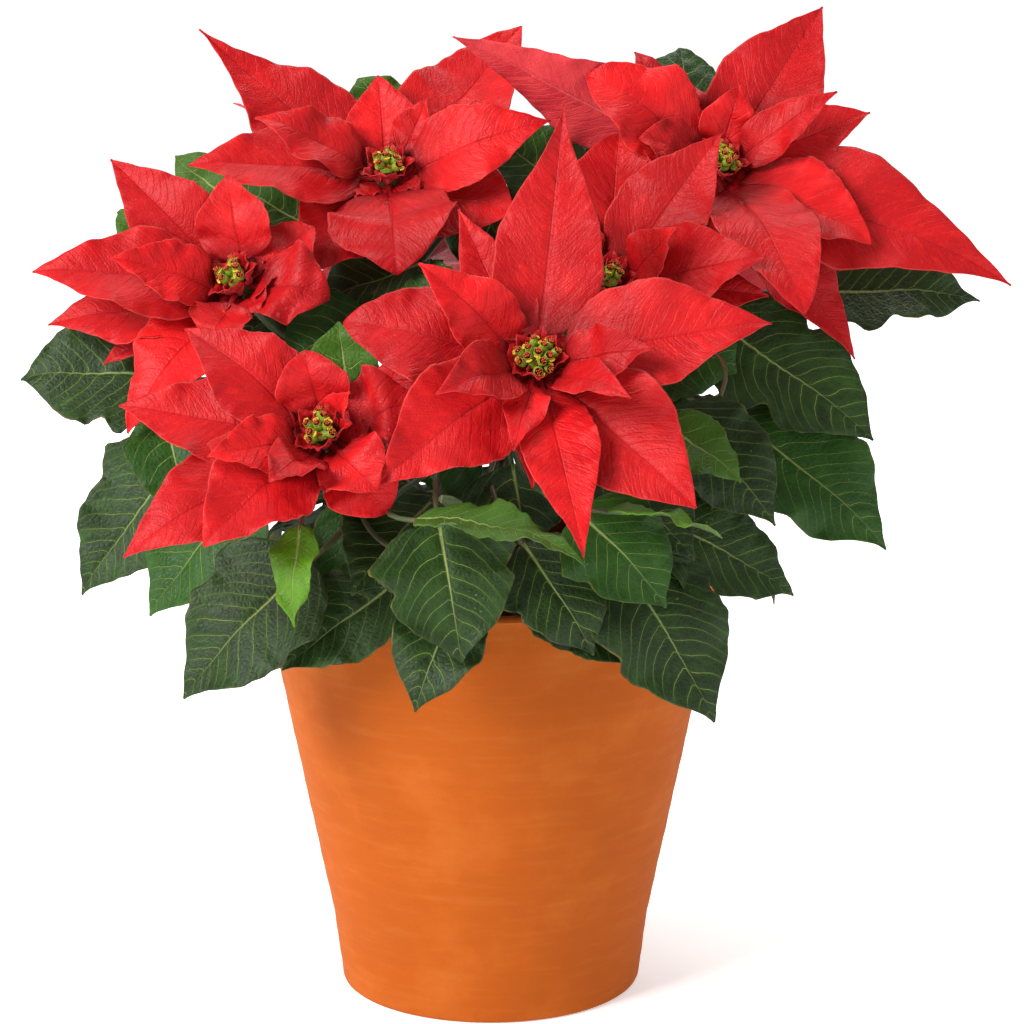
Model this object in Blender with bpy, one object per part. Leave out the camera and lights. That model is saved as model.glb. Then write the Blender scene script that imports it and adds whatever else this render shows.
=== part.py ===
"""Potted poinsettia: three forking plants with eight red blooms in a plain terracotta pot.

Lengths in this file are millimetres until a mesh is made. The origin is the centre of the
pot's flat underside, +Z is up and the viewer stands on the -Y side.
"""

import math
from dataclasses import dataclass, replace

import bmesh
import bpy
from mathutils import Vector
from mathutils.bvhtree import BVHTree

MM = 0.001
GOLDEN_TURN = math.radians(137.5)

# Pot
POT_HEIGHT = 200.0
POT_FOOT_RADIUS = 69.5
POT_BEND_HEIGHT = 33.0
POT_BEND_RADIUS = 73.6
POT_TOP_RADIUS = 107.6
POT_WALL = 6.0
POT_FLOOR = 10.0
POT_LIP = 2.0
POT_SIDES = 36
DRAIN_RADIUS = 5.0
DRAIN_OFFSET = 32.0
DRAIN_COUNT = 3
DRAIN_SIDES = 10

# Soil and the holes that the trunks stand in
SOIL_TOP = 182.0
SOIL_RELIEF = 2.5
SOIL_RINGS = 2
HOLE_DEPTH = 42.0
GAP = 0.3

# Stems
TRUNK_RADIUS = 5.5
BRANCH_RADIUS = 4.2
TWIG_RADIUS = 3.4
STEM_SIDES = 6
BRANCH_STEPS = 4
END_STRETCH = 6.0

# Bloom hearts
CORE_RADIUS = 5.0
CORE_BELOW = 14.0
CORE_ABOVE = 3.0
CUP_RADIUS = 2.7
CUP_HEIGHT = 6.0
CUP_SIDES = 4
CUP_RING = 3.9
CUP_COUNT = 5

# Bracts and leaves
SHEET_THICKNESS = 0.8
NECK_THICKNESS = 2.0
BRACT_NECK_WIDTH = 2.8
LEAF_NECK_WIDTH = 2.6
BRACT_NECK_LENGTH = 9.0
TIP_WIDTH = 0.9
NECK_THINS_BY = 0.2
STALK_BEND = 0.45
RIPPLES = 2.3
STATIONS_BY_WIDTH = (
    (33.0, (0.0, 0.18, 0.5, 1.0)),
    (49.0, (0.0, 0.16, 0.42, 0.72, 1.0)),
    (99.0, (0.0, 0.13, 0.32, 0.54, 0.78, 1.0)),
)
FAR_LEAF_STATIONS = (0.0, 0.15, 0.4, 0.72, 1.0)
PROBE_STATIONS = (0.0, 0.08, 0.18, 0.3, 0.42, 0.54, 0.66, 0.78, 0.9, 1.0)
PROBE_COLUMNS = (-1.0, -0.5, 0.0, 0.5, 1.0)
COARSE_CLEARANCE = 0.4
PROBE_CLEARANCE = 0.7
FREE_FROM = 0.1
CROSSED_NODE = 100

# How far a bract's root and neck stand off its core, and how much bracts and leaves face the eye
ROOT_OFFSET = 2.0
NECK_RADIAL_SHARE = 0.8
NECK_AIM_SHARE = 0.4
BRACT_TO_VIEWER = 0.6
LEAF_TO_VIEWER = 1.6

# A leaf's side lobe and the notch after it, as places along the leaf
LOBE_AT = 0.27
NOTCH_AT = 0.42
NOTCH_DEPTH = 1.2
LOBE_STAGGER = 0.03
LOBE_SPREAD = 0.06

# The line of sight that the places below are read along
VIEW_TILT = math.radians(12.5)
EYE_DISTANCE = 1600.0
VIEW_CENTRE = Vector((10.0, 0.0, 223.0))
ACROSS = Vector((1.0, 0.0, 0.0))
UPWARD = Vector((0.0, math.sin(VIEW_TILT), math.cos(VIEW_TILT)))
TOWARD = Vector((0.0, -math.cos(VIEW_TILT), math.sin(VIEW_TILT)))
SKY = Vector((0.0, 0.0, 1.0))


def seen_at(across, up, toward):
    """A place read on the plane through the pot's axis, then drawn toward the eye."""
    scale = 1.0 - toward / EYE_DISTANCE
    return VIEW_CENTRE + (ACROSS * across + UPWARD * up) * scale + TOWARD * toward


def view_vector(across, up, toward):
    return ACROSS * across + UPWARD * up + TOWARD * toward


@dataclass
class Bloom:
    name: str
    centre: Vector
    axis: Vector
    plant: str


def bloom(name, plant, centre, axis):
    return Bloom(name, seen_at(*centre), view_vector(*axis).normalized(), plant)


BLOOMS = (
    bloom("front", "middle", (11.5, 69, 112), (0.05, 0.45, 0.9)),
    bloom("upper_left", "left", (-57.5, 157, 4), (-0.05, 0.7, 0.7)),
    bloom("upper_right", "right", (95, 159, 14), (0.25, 0.6, 0.75)),
    bloom("lower_left", "left", (-87, 36, 120), (-0.25, 0.5, 0.83)),
    bloom("left", "left", (-126.5, 106, 43), (-0.45, 0.6, 0.66)),
    bloom("middle_right", "right", (44, 106, 48), (0.1, 0.6, 0.8)),
    bloom("back_left", "middle", (-58, 118, -98), (-0.3, 0.75, -0.6)),
    bloom("back_right", "right", (72, 112, -92), (0.35, 0.7, -0.6)),
)


@dataclass
class Blade:
    """One bract or leaf: a neck, then a thin arched sheet that ends in a point."""

    start: Vector
    base: Vector
    tip: Vector
    face: Vector
    width: float
    bow: float = 6.0
    roll: float = 0.0
    fold: float = 0.22
    wave: float = 1.6
    phase: float = 0.0
    lobe: float = 0.0
    taper: float = 1.15
    leaf: bool = False
    far: bool = False


def bract(tip, width, bow=7, roll=0, fold=0.2, wave=1.6, level=-3, taper=1.1):
    """One seen bract: its tip from the bloom's centre as (across, up, toward)."""
    return dict(tip=tip, width=width, bow=bow, roll=roll, fold=fold, wave=wave, level=level,
                taper=taper)


BRACTS = {
    "front": (
        bract((12, 112, -14), 46, bow=-5, fold=0.12, wave=1.0, level=-2, taper=1.4),
        bract((100, 17, 8), 46, bow=12, roll=-8, fold=0.25),
        bract((66, -62, 34), 50, bow=10, fold=0.15, taper=0.95),
        bract((19, -82, 34), 32, bow=8, fold=0.25),
        bract((-68, -53, 28), 46, bow=12, fold=0.18),
        bract((-84, 18, -4), 44, bow=16, fold=0.1, level=-5, taper=0.8),
        bract((-34, 68, -16), 28, bow=-4, fold=0.3, level=-2),
        bract((-50, 42, -8), 30, bow=4, level=-7),
        bract((49, 5, 26), 24, bow=5, fold=0.3, level=0),
        bract((38, -16, 34), 20, bow=4, level=-1),
        bract((-10, -38, 34), 18, bow=3, level=0),
        bract((-2, -54, 12), 20, bow=6, level=-8),
        bract((-42, -14, 32), 28, bow=6, fold=0.3, level=0),
        bract((-78, -10, -22), 32, bow=10, wave=3.0, level=-9, taper=0.9),
    ),
    "upper_left": (
        bract((-87, 67, -12), 46, bow=-8, fold=0.1, wave=3.0, level=-5, taper=1.5),
        bract((-90, 2, 14), 44, bow=11, fold=0.2),
        bract((-60, 24, 2), 30, bow=6, wave=2.6, level=-1),
        bract((-5, 47, -22), 32, bow=3, level=-4),
        bract((18, 34, -2), 20, bow=-2, level=-1),
        bract((32, 35, -12), 26, bow=-3, level=-3),
        bract((62, 75, -38), 46, bow=6, level=-7, taper=0.95),
        bract((75, 22, 12), 38, bow=9, roll=14, level=-4),
        bract((6, -50, 40), 54, bow=12, fold=0.1, level=-3, taper=0.8),
        bract((-32, -46, 12), 42, bow=14, fold=0.25, wave=3.0, level=-7, taper=0.8),
        bract((58, -20, -6), 44, bow=8, level=-9, taper=0.8),
        bract((-74, 38, -44), 20, bow=6, roll=60, level=-9),
    ),
    "upper_right": (
        bract((50, 77, -26), 48, bow=5, level=-5),
        bract((70, 26, -6), 34, bow=6, level=-3),
        bract((134, -54, 2), 54, bow=24, fold=0.15, level=-8, taper=1.25),
        bract((68, -36, 18), 42, bow=12, level=-3, taper=0.9),
        bract((35, -70, 38), 44, bow=14, fold=0.2, level=-3, taper=0.8),
        bract((62, -88, 16), 34, bow=14, level=-8),
        bract((-121, 58, 12), 38, bow=14, roll=125, fold=0.15, level=-7),
        bract((-60, 42, 2), 42, bow=12, wave=3.2, level=-5, taper=0.7),
        bract((-37, 57, -24), 32, bow=3, level=-7),
        bract((-10, 30, -6), 15, bow=2, level=0),
        bract((10, 38, -12), 26, bow=3, level=-2),
        bract((53, 33, 4), 22, bow=4, level=-1),
        bract((-36, 12, 20), 28, bow=6, wave=2.4, level=-1, taper=0.8),
        bract((-2, -48, 34), 20, bow=6, roll=-40, level=-1),
    ),
    "lower_left": (
        bract((-60, 46, -12), 38, bow=12, roll=10, fold=0.2, level=-3),
        bract((-89, 13, 4), 40, bow=11, fold=0.2, level=-3),
        bract((-83, -52, 18), 46, bow=12, fold=0.15, level=-6),
        bract((-46, -9, 28), 26, bow=5, wave=2.2, level=0),
        bract((-48, -47, 34), 42, bow=10, level=-3, taper=0.9),
        bract((-20, -31, 34), 24, bow=5, level=-1, taper=0.9),
        bract((24, -24, 32), 30, bow=5, level=-2, taper=0.8),
        bract((28, -34, 8), 32, bow=8, level=-8, taper=0.7),
        bract((41, 14, 2), 36, bow=8, wave=2.4, level=-4, taper=0.8),
        bract((-8, 36, -4), 30, bow=2, level=-2, taper=0.8),
        bract((12, 17, 14), 15, bow=1, level=1),
    ),
    "left": (
        bract((-59, 57, -18), 38, bow=8, level=-4),
        bract((-92, 5, 2), 44, bow=16, level=-3),
        bract((-87, -18, 12), 40, bow=12, level=-7),
        bract((-54, 10, 20), 28, bow=6, level=0),
        bract((-5, 48, -2), 34, bow=4, level=-2, taper=0.9),
        bract((43, -8, 16), 34, bow=10, wave=3.0, level=-3, taper=0.8),
        bract((34, 26, 4), 34, bow=6, wave=2.6, level=-2, taper=0.9),
        bract((-48, -68, 20), 38, bow=14, level=-6),
        bract((-62, -36, -12), 22, bow=6, level=-9),
        bract((-10, -27, 26), 28, bow=5, wave=2.4, level=-1, taper=0.8),
    ),
    "middle_right": (
        bract((51, 67, -4), 42, bow=4, level=-3),
        bract((69, 10, 18), 38, bow=8, fold=0.25, level=-3),
        bract((72, -6, 2), 32, bow=8, level=-7),
        bract((28, 22, 24), 24, bow=6, level=0),
        bract((6, 70, -22), 46, bow=6, wave=2.6, level=-5, taper=0.8),
        bract((4, -40, 16), 30, bow=8, level=-5),
        bract((-38, 38, -14), 30, bow=6, level=-4),
        bract((-44, -8, -12), 30, bow=8, level=-8),
    ),
}

BACK_BRACT_COUNT = 10
BACK_BRACT_LONG = 96.0
BACK_BRACT_SHORT = 44.0


def leaf(plant, reach, base, tip, width, bow=8, roll=0, fold=0.16, wave=2.0, lobe=0.0):
    """One seen leaf: where its sheet begins and ends, as read along the line of sight."""
    return dict(plant=plant, reach=reach, base=base, tip=tip, width=width, bow=bow,
                roll=roll, fold=fold, wave=wave, lobe=lobe)


LEAVES = (
    leaf("front", 0.2, (-26, -40, 114), (-45, -92, 126), 38, bow=6),
    leaf("front", 0.3, (-34, -4, 130), (-23, -70, 134), 54, bow=8, lobe=0.12),
    leaf("front", 0.3, (5, -15, 120), (38, -66, 126), 42, bow=8, lobe=0.14),
    leaf("front", 0.1, (10, -34, 106), (56, -71, 112), 36, bow=6),
    leaf("front", 0.4, (-44, -4, 146), (34, -22, 152), 28, bow=8, roll=-35, wave=3.0),
    leaf("front", 0.6, (30, 0, 126), (72, -44, 128), 46, bow=8, lobe=0.12),
    leaf("front", 0.5, (44, 0, 138), (97, -11, 134), 18, bow=6, roll=-60),
    leaf("middle_right", 0.2, (48, -30, 104), (94, -97, 106), 56, bow=10, lobe=0.1),
    leaf("middle_right", 0.4, (62, -2, 90), (131, -38, 74), 46, bow=8, lobe=0.16),
    leaf("middle_right", 0.6, (74, 46, 76), (122, -6, 86), 42, bow=8),
    leaf("middle_right", 0.7, (70, 40, 96), (106, 14, 104), 26, bow=5),
    leaf("middle_right", 0.75, (96, 54, 66), (88, 36, 74), 11, bow=5, roll=60),
    leaf("upper_right", 0.3, (104, 42, 34), (173, -17, 34), 56, bow=10, wave=2.6),
    leaf("upper_right", 0.5, (95, 86, 24), (169, 34, 50), 60, bow=10, lobe=0.24, wave=2.6),
    leaf("upper_right", 0.7, (140, 100, 0), (216, 98, -8), 36, bow=10, lobe=0.2),
    leaf("upper_right", 0.8, (80, 178, -40), (84, 217, -46), 40, bow=4),
    leaf("upper_right", 0.7, (96, 180, -62), (110, 212, -70), 30, bow=3),
    leaf("lower_left", 0.2, (-92, -22, 88), (-152, -86, 82), 56, bow=10, lobe=0.12),
    leaf("lower_left", 0.1, (-50, -30, 98), (-107, -73, 94), 40, bow=6),
    leaf("lower_left", 0.5, (-97, -6, 128), (-101, -53, 140), 20, bow=5, roll=20),
    leaf("lower_left", 0.5, (-36, 6, 92), (-74, -38, 108), 50, bow=8, lobe=0.16),
    leaf("lower_left", 0.8, (-56, 12, 108), (-12, -14, 126), 38, bow=8),
    leaf("lower_left", 0.5, (-160, 46, 50), (-148, -4, 62), 38, bow=6),
    leaf("left", 0.3, (-146, 30, 36), (-199, -38, 32), 50, bow=8, lobe=0.1),
    leaf("left", 0.6, (-160, 62, 24), (-227, 62, 18), 54, bow=8, lobe=0.14),
    leaf("left", 0.5, (-165, 27, 12), (-187, 21, 8), 16, bow=3),
    leaf("left", 0.8, (-160, 124, -30), (-182, 139, -36), 28, bow=4),
    leaf("upper_left", 0.7, (-132, 146, -40), (-156, 164, -46), 24, bow=4, roll=-40),
    leaf("upper_left", 0.8, (-58, 180, -40), (-71, 200, -46), 28, bow=3),
    leaf("back_right", 0.8, (30, 146, -60), (36, 180, -54), 34, bow=6),
    leaf("upper_left", 0.3, (-34, 80, 44), (-38, 118, 30), 32, bow=5),
    leaf("upper_left", 0.4, (-76, 60, 62), (-80, 88, 66), 30, bow=5),
    leaf("lower_left", 0.35, (-118, 12, 62), (-168, -48, 58), 50, bow=8),
    leaf("middle_right", 0.35, (36, 20, 86), (84, -22, 92), 46, bow=8),
    leaf("front", 0.25, (0, 22, 92), (6, -38, 96), 46, bow=8),
    leaf("left", 0.2, (-66, 4, 70), (-76, -54, 84), 46, bow=8),
    leaf("middle_right", 0.5, (108, 70, 10), (150, 8, 18), 50, bow=8),
    leaf("left", 0.6, (-64, 86, 30), (-108, 68, 40), 44, bow=6),
    leaf("middle_right", 0.45, (-14, 66, 30), (-66, 92, 24), 46, bow=6),
    leaf("middle_right", 0.6, (22, 62, 50), (16, 112, 34), 44, bow=6),
    leaf("middle_right", 0.3, (-18, 40, 46), (-54, -4, 58), 50, bow=6),
    leaf("left", 0.7, (-92, 102, 16), (-130, 76, 24), 44, bow=6),
    leaf("upper_left", 0.6, (-4, 150, -30), (-18, 104, -20), 44, bow=6),
    leaf("middle_right", 0.6, (62, 62, 60), (116, 40, 64), 44, bow=6),
    leaf("upper_right", 0.7, (88, 104, -14), (66, 142, -20), 38, bow=6),
    leaf("middle_right", 0.8, (36, 138, -34), (-16, 174, -40), 42, bow=5),
    leaf("left", 0.8, (-88, 128, -16), (-134, 152, -24), 38, bow=5),
    leaf("middle_right", 0.6, (66, 80, 36), (104, 44, 42), 46, bow=6),
    leaf("upper_right", 0.8, (114, 124, -20), (166, 98, -14), 40, bow=5),
    leaf("lower_left", 0.7, (-54, 42, 84), (-106, 24, 90), 46, bow=5),
    leaf("left", 0.8, (-40, 114, 4), (-92, 94, 8), 46, bow=5),
)

# Leaves by rule round the sides and back: bearing from the viewer's right, and where the tips hang
SIDE_LEAF_BEARINGS = tuple(range(14, 160, 18))
LOW_LEAF = (98.0, 168.0, 216.0, 166.0)
HIGH_LEAF = (86.0, 176.0, 272.0, 236.0)
SIDE_LEAF_DRAW_IN = 30.0
SIDE_LEAF_WIDTH = 56.0

# Leaves by rule that lie low over the soil
INNER_LEAF_BEARINGS = tuple(range(10, 190, 56))
INNER_LEAF = (34.0, 104.0, 226.0, 214.0)
INNER_LEAF_WIDTH = 50.0

# Leaves by rule high up round the stems, under the blooms
CROWN_LEAF_BEARINGS = (-20, 22, 92, 158, 202)
CROWN_LEAF = (58.0, 122.0, 300.0, 276.0)
CROWN_LEAF_WIDTH = 52.0

# Where each plant comes out of the soil, and where it forks
PLANTS = {
    "left": (Vector((-36.0, -6.0, SOIL_TOP)), Vector((-46.0, -12.0, 240.0))),
    "middle": (Vector((4.0, -26.0, SOIL_TOP)), Vector((4.0, -22.0, 236.0))),
    "right": (Vector((40.0, 10.0, SOIL_TOP)), Vector((52.0, 12.0, 244.0))),
}


def clear_scene():
    for item in list(bpy.data.objects):
        bpy.data.objects.remove(item, do_unlink=True)


def make_material(name, colour, roughness, sheen=0.0):
    material = bpy.data.materials.new(name)
    material.use_nodes = True
    shader = material.node_tree.nodes["Principled BSDF"]
    shader.inputs["Base Color"].default_value = (*colour, 1.0)
    shader.inputs["Roughness"].default_value = roughness
    shader.inputs["Metallic"].default_value = 0.0
    shader.inputs["Sheen Weight"].default_value = sheen
    return material


def add_object(name, mesh, material=None):
    item = bpy.data.objects.new(name, mesh)
    bpy.context.collection.objects.link(item)
    if material:
        mesh.materials.append(material)
    return item


def mesh_from(name, points, faces):
    mesh = bpy.data.meshes.new(name)
    mesh.from_pydata([point * MM for point in points], [], faces)
    mesh.update()
    return mesh


def quadratic(start, middle, end, s):
    return start * (1 - s) ** 2 + middle * (2 * s * (1 - s)) + end * s ** 2


def quadratic_slope(start, middle, end, s):
    return (middle - start) * (2 * (1 - s)) + (end - middle) * (2 * s)


def cubic(a, b, c, d, s):
    r = 1 - s
    return a * r ** 3 + b * (3 * s * r ** 2) + c * (3 * s ** 2 * r) + d * s ** 3


def squared_off(vector, line):
    """The part of a vector that stands square to a line, at unit length."""
    direction = line.normalized()
    return (vector - direction * vector.dot(direction)).normalized()


def swell(u, place):
    return math.exp(-((u - place) / LOBE_SPREAD) ** 2)


def outline(blade, u, side):
    """Half width of the sheet at u along it, from its neck to its long point."""
    widest = 0.5 / (0.5 + blade.taper)
    shape = (u / widest) ** 0.5 * ((1 - u) / (1 - widest)) ** blade.taper
    if blade.leaf:
        shape *= 1 + blade.lobe * swell(u, LOBE_AT + LOBE_STAGGER * side)
        shape *= 1 - NOTCH_DEPTH * blade.lobe * swell(u, NOTCH_AT + LOBE_STAGGER * side)
    neck = LEAF_NECK_WIDTH if blade.leaf else BRACT_NECK_WIDTH
    narrowest = neck + (TIP_WIDTH - neck) * u
    return max(narrowest, blade.width * shape) / 2


def sheet_point(blade, u, across):
    """Centre-sheet point and face direction at u from neck to tip, -1 to 1 from edge to edge."""
    face = squared_off(blade.face, blade.tip - blade.base)
    turn = (blade.tip - blade.base).normalized().cross(face)
    roll = math.radians(blade.roll)
    face = face * math.cos(roll) + turn * math.sin(roll)
    middle = (blade.base + blade.tip) / 2 + face * blade.bow
    centre = quadratic(blade.base, middle, blade.tip, u)
    tangent = quadratic_slope(blade.base, middle, blade.tip, u).normalized()
    normal = squared_off(face, tangent)
    side = tangent.cross(normal)
    half = outline(blade, u, 1 if across > 0 else -1)
    ripple = math.sin(2 * math.pi * RIPPLES * u + blade.phase + 1.3 * across)
    height = blade.fold * half * abs(across)
    height += blade.wave * ripple * across ** 2 * math.sin(math.pi * u)
    return centre + side * (half * across) + normal * height, normal


def stalk_point(blade, s, across):
    """Centre point of the neck at s from its sunk root to the sheet."""
    face = squared_off(blade.face, blade.tip - blade.base)
    middle = (blade.base + blade.tip) / 2 + face * blade.bow
    lead = (middle - blade.base).normalized()
    bend = blade.base - lead * ((blade.base - blade.start).length * STALK_BEND)
    centre = quadratic(blade.start, bend, blade.base, s)
    tangent = quadratic_slope(blade.start, bend, blade.base, s).normalized()
    normal = squared_off(blade.face, tangent)
    neck = LEAF_NECK_WIDTH if blade.leaf else BRACT_NECK_WIDTH
    return centre + tangent.cross(normal) * (neck / 2 * across), normal


def sheet_thickness(u):
    blend = min(1.0, u / NECK_THINS_BY)
    return NECK_THICKNESS + (SHEET_THICKNESS - NECK_THICKNESS) * blend


def blade_rows(blade, stalk_steps, stations, columns, extra=0.0, free=False):
    """Rows of (upper, lower) points across the blade; its free part starts past the root."""
    rows = []
    for step in range(stalk_steps):
        if not free or (blade.leaf and step > 0):
            row = [stalk_point(blade, step / stalk_steps, a) for a in columns]
            rows.append((row, NECK_THICKNESS / 2 + extra))
    for u in stations:
        if not free or blade.leaf or u >= FREE_FROM:
            row = [sheet_point(blade, u, a) for a in columns]
            rows.append((row, sheet_thickness(u) / 2 + extra))
    upper = [[point + normal * half for point, normal in row] for row, half in rows]
    lower = [[point - normal * half for point, normal in row] for row, half in rows]
    return upper, lower


def grid_shell(upper, lower):
    """Closed shell between two like grids, split into triangles alike on both faces.

    The last row closes to one point on each face, at the blade's tip.
    """
    rows = len(upper) - 1
    columns = len(upper[0])
    points = [point for row in upper[:-1] for point in row] + [upper[-1][columns // 2]]
    below = len(points)
    points += [point for row in lower[:-1] for point in row] + [lower[-1][columns // 2]]
    tip = below - 1
    faces = []

    def quad(a, b, c, d):
        faces.append((a, b, c))
        faces.append((a, c, d))

    def both_faces(*corners):
        faces.append(corners)
        faces.append(tuple(corner + below for corner in reversed(corners)))

    for row in range(rows - 1):
        for column in range(columns - 1):
            a = row * columns + column
            both_faces(a, a + 1, a + columns + 1)
            both_faces(a, a + columns + 1, a + columns)
        left = row * columns
        right = left + columns - 1
        quad(left, left + columns, left + columns + below, left + below)
        quad(right + columns, right, right + below, right + columns + below)
    last = (rows - 1) * columns
    for column in range(columns - 1):
        quad(column + 1, column, column + below, column + 1 + below)
        both_faces(last + column, last + column + 1, tip)
    quad(last, tip, tip + below, last + below)
    quad(tip, last + columns - 1, last + columns - 1 + below, tip + below)
    return points, faces


def coarse_stations(blade):
    if blade.far:
        return FAR_LEAF_STATIONS
    return next(stations for width, stations in STATIONS_BY_WIDTH if blade.width < width)


def coarse_columns(blade):
    """Edge, midrib and edge; a far leaf has no fold, and goes from edge to edge."""
    return (-1.0, 1.0) if blade.far else (-1.0, 0.0, 1.0)


def coarse_shell(blade, extra=0.0, free=False):
    stations = coarse_stations(blade)
    return grid_shell(*blade_rows(blade, 1, stations, coarse_columns(blade), extra, free))


def coarse_probe(blade, free):
    return coarse_shell(blade, COARSE_CLEARANCE, free)


def smooth_probe(blade, free):
    rows = blade_rows(blade, 3, PROBE_STATIONS, PROBE_COLUMNS, PROBE_CLEARANCE, free)
    return grid_shell(*rows)


class Obstacle:
    """A placed shape as search trees and a box, with the group that it belongs to."""

    def __init__(self, shells, group):
        self.trees = [BVHTree.FromPolygons(points, faces) for points, faces in shells]
        points = [point for shell in shells for point in shell[0]]
        self.low = Vector(map(min, zip(*points)))
        self.high = Vector(map(max, zip(*points)))
        self.group = group

    def touches(self, other):
        apart = any(self.low[i] > other.high[i] or self.high[i] < other.low[i] for i in range(3))
        if apart:
            return False
        return any(mine.overlap(yours) for mine, yours in zip(self.trees, other.trees))


def whole_obstacle(blade, group):
    return Obstacle((coarse_probe(blade, False), smooth_probe(blade, False)), group)


def free_obstacle(blade, group):
    """The part of a blade past its crowded root, for the test among its own neighbours."""
    return Obstacle((coarse_probe(blade, True), smooth_probe(blade, True)), group)


def trial_bends(blade):
    """The blade as drawn, then bent and swung a little further at each try."""
    yield blade
    for step in (4, 8, 13, 19, 26):
        for way in (TOWARD, -TOWARD):
            for arch in (0, 5, -5):
                yield replace(blade, tip=blade.tip + way * step, bow=blade.bow + arch)
    for step in (6, 12, 20, 30):
        for way in (UPWARD, -UPWARD, ACROSS, -ACROSS):
            for depth in (0, 14, -14):
                yield replace(blade, tip=blade.tip + way * step + TOWARD * depth)
    if blade.leaf:
        for step in (8, 16, 26):
            for way in (TOWARD, -TOWARD, UPWARD, -UPWARD, ACROSS, -ACROSS):
                moved = replace(blade, base=blade.base + way * step)
                yield moved
                yield replace(moved, tip=blade.tip + way * step)


class Bed:
    """Everything placed so far, which each new blade is bent clear of."""

    def __init__(self):
        self.whole = []
        self.free = []

    def add_solid(self, points, faces, group):
        self.whole.append(Obstacle(((points, faces), (points, faces)), group))

    def crossings(self, blade, group):
        """How many shapes a blade crosses; one of another node counts far more."""
        whole = whole_obstacle(blade, group)
        others = [item for item in self.whole if item.group != group]
        foreign = sum(whole.touches(item) for item in others)
        if foreign:
            return CROSSED_NODE * foreign
        free = free_obstacle(blade, group)
        return sum(free.touches(item) for item in self.free if item.group == group)

    def place(self, blade, group):
        """Put the first clear bend in place; a blade that crosses another node is left out."""
        best = None
        for trial in trial_bends(blade):
            count = self.crossings(trial, group)
            if best is None or count < best[0]:
                best = (count, trial)
            if count == 0:
                break
        if best[0] >= CROSSED_NODE:
            return None
        chosen = best[1]
        self.whole.append(whole_obstacle(chosen, group))
        self.free.append(free_obstacle(chosen, group))
        return chosen


def seat_on_core(place, direction, level):
    """Sunk root and neck end of a bract that leaves its bloom's core in a direction."""
    radial = squared_off(direction, place.axis)
    start = place.centre + place.axis * level + radial * ROOT_OFFSET
    lead = radial * NECK_RADIAL_SHARE + direction.normalized() * NECK_AIM_SHARE
    base = start + lead * BRACT_NECK_LENGTH
    return start, base


def seen_bracts(place):
    for number, row in enumerate(BRACTS.get(place.name, ())):
        reach = view_vector(*row["tip"])
        start, base = seat_on_core(place, reach, row["level"])
        face = place.axis + TOWARD * BRACT_TO_VIEWER
        yield Blade(start, base, place.centre + reach, face, row["width"], row["bow"],
                    row["roll"], row["fold"], row["wave"], phase=number * 1.7, taper=row["taper"])


def back_bracts(place):
    """Bracts of a bloom on the far side, by a golden-angle rule from long to short."""
    sideways = squared_off(ACROSS, place.axis)
    forward = place.axis.cross(sideways)
    for number in range(BACK_BRACT_COUNT):
        inner = number / (BACK_BRACT_COUNT - 1)
        length = BACK_BRACT_LONG + (BACK_BRACT_SHORT - BACK_BRACT_LONG) * inner ** 1.4
        turn = number * GOLDEN_TURN
        lift = math.radians(4 + 34 * inner)
        radial = sideways * math.cos(turn) + forward * math.sin(turn)
        reach = (radial * math.cos(lift) + place.axis * math.sin(lift)) * length
        start, base = seat_on_core(place, reach, -9 + 8 * inner)
        yield Blade(start, base, place.centre + reach, place.axis, length * 0.4, bow=length * 0.08,
                    phase=number * 1.7, wave=2.0)


def branch_ends(place):
    """The curve of a bloom's branch, from its plant's fork to just under the core."""
    fork = PLANTS[place.plant][1]
    end = place.centre - place.axis * (CORE_BELOW + GAP)
    length = (end - fork).length
    return fork, fork + SKY * (0.35 * length), end - place.axis * (0.35 * length), end


def branch_point(place, s):
    return cubic(*branch_ends(place), s)


def tube_shell(path, radii, sides):
    """Closed tube round a path, with flat ends."""
    points = []
    faces = []
    reference = Vector((0.31, 0.95, 0.0))
    for index, centre in enumerate(path):
        ahead = path[min(index + 1, len(path) - 1)]
        behind = path[max(index - 1, 0)]
        tangent = (ahead - behind).normalized()
        right = squared_off(reference, tangent)
        front = tangent.cross(right)
        for side in range(sides):
            turn = 2 * math.pi * side / sides
            points.append(centre + (right * math.cos(turn) + front * math.sin(turn)) * radii[index])
    for ring in range(len(path) - 1):
        for side in range(sides):
            a = ring * sides + side
            b = ring * sides + (side + 1) % sides
            faces.append((a, b, b + sides, a + sides))
    faces.append(tuple(reversed(range(sides))))
    faces.append(tuple(range(len(points) - sides, len(points))))
    return points, faces


def trunk_shell(plant):
    ground, fork = PLANTS[plant]
    foot = ground - SKY * (HOLE_DEPTH - GAP)
    bend = ground + SKY * 0.4 * (fork.z - ground.z)
    path = [foot, ground + SKY * 3, (ground + bend) / 2 + SKY * 4]
    path += [quadratic(ground, bend, fork, s) for s in (0.6, 1.0)]
    path.append(fork + (fork - bend).normalized() * 4)
    radii = [TRUNK_RADIUS] * 4 + [BRANCH_RADIUS * 1.15] * 2
    return tube_shell(path, radii, STEM_SIDES)


def branch_shell(place):
    """One bloom's branch, whose last stretch runs straight up to the core's flat foot."""
    steps = [step / BRANCH_STEPS for step in range(BRANCH_STEPS)]
    end = branch_point(place, 1.0)
    path = [branch_point(place, s) for s in steps] + [end - place.axis * END_STRETCH, end]
    radii = [BRANCH_RADIUS + (TWIG_RADIUS - BRANCH_RADIUS) * s for s in steps]
    return tube_shell(path, radii + [TWIG_RADIUS] * 2, STEM_SIDES)


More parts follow.
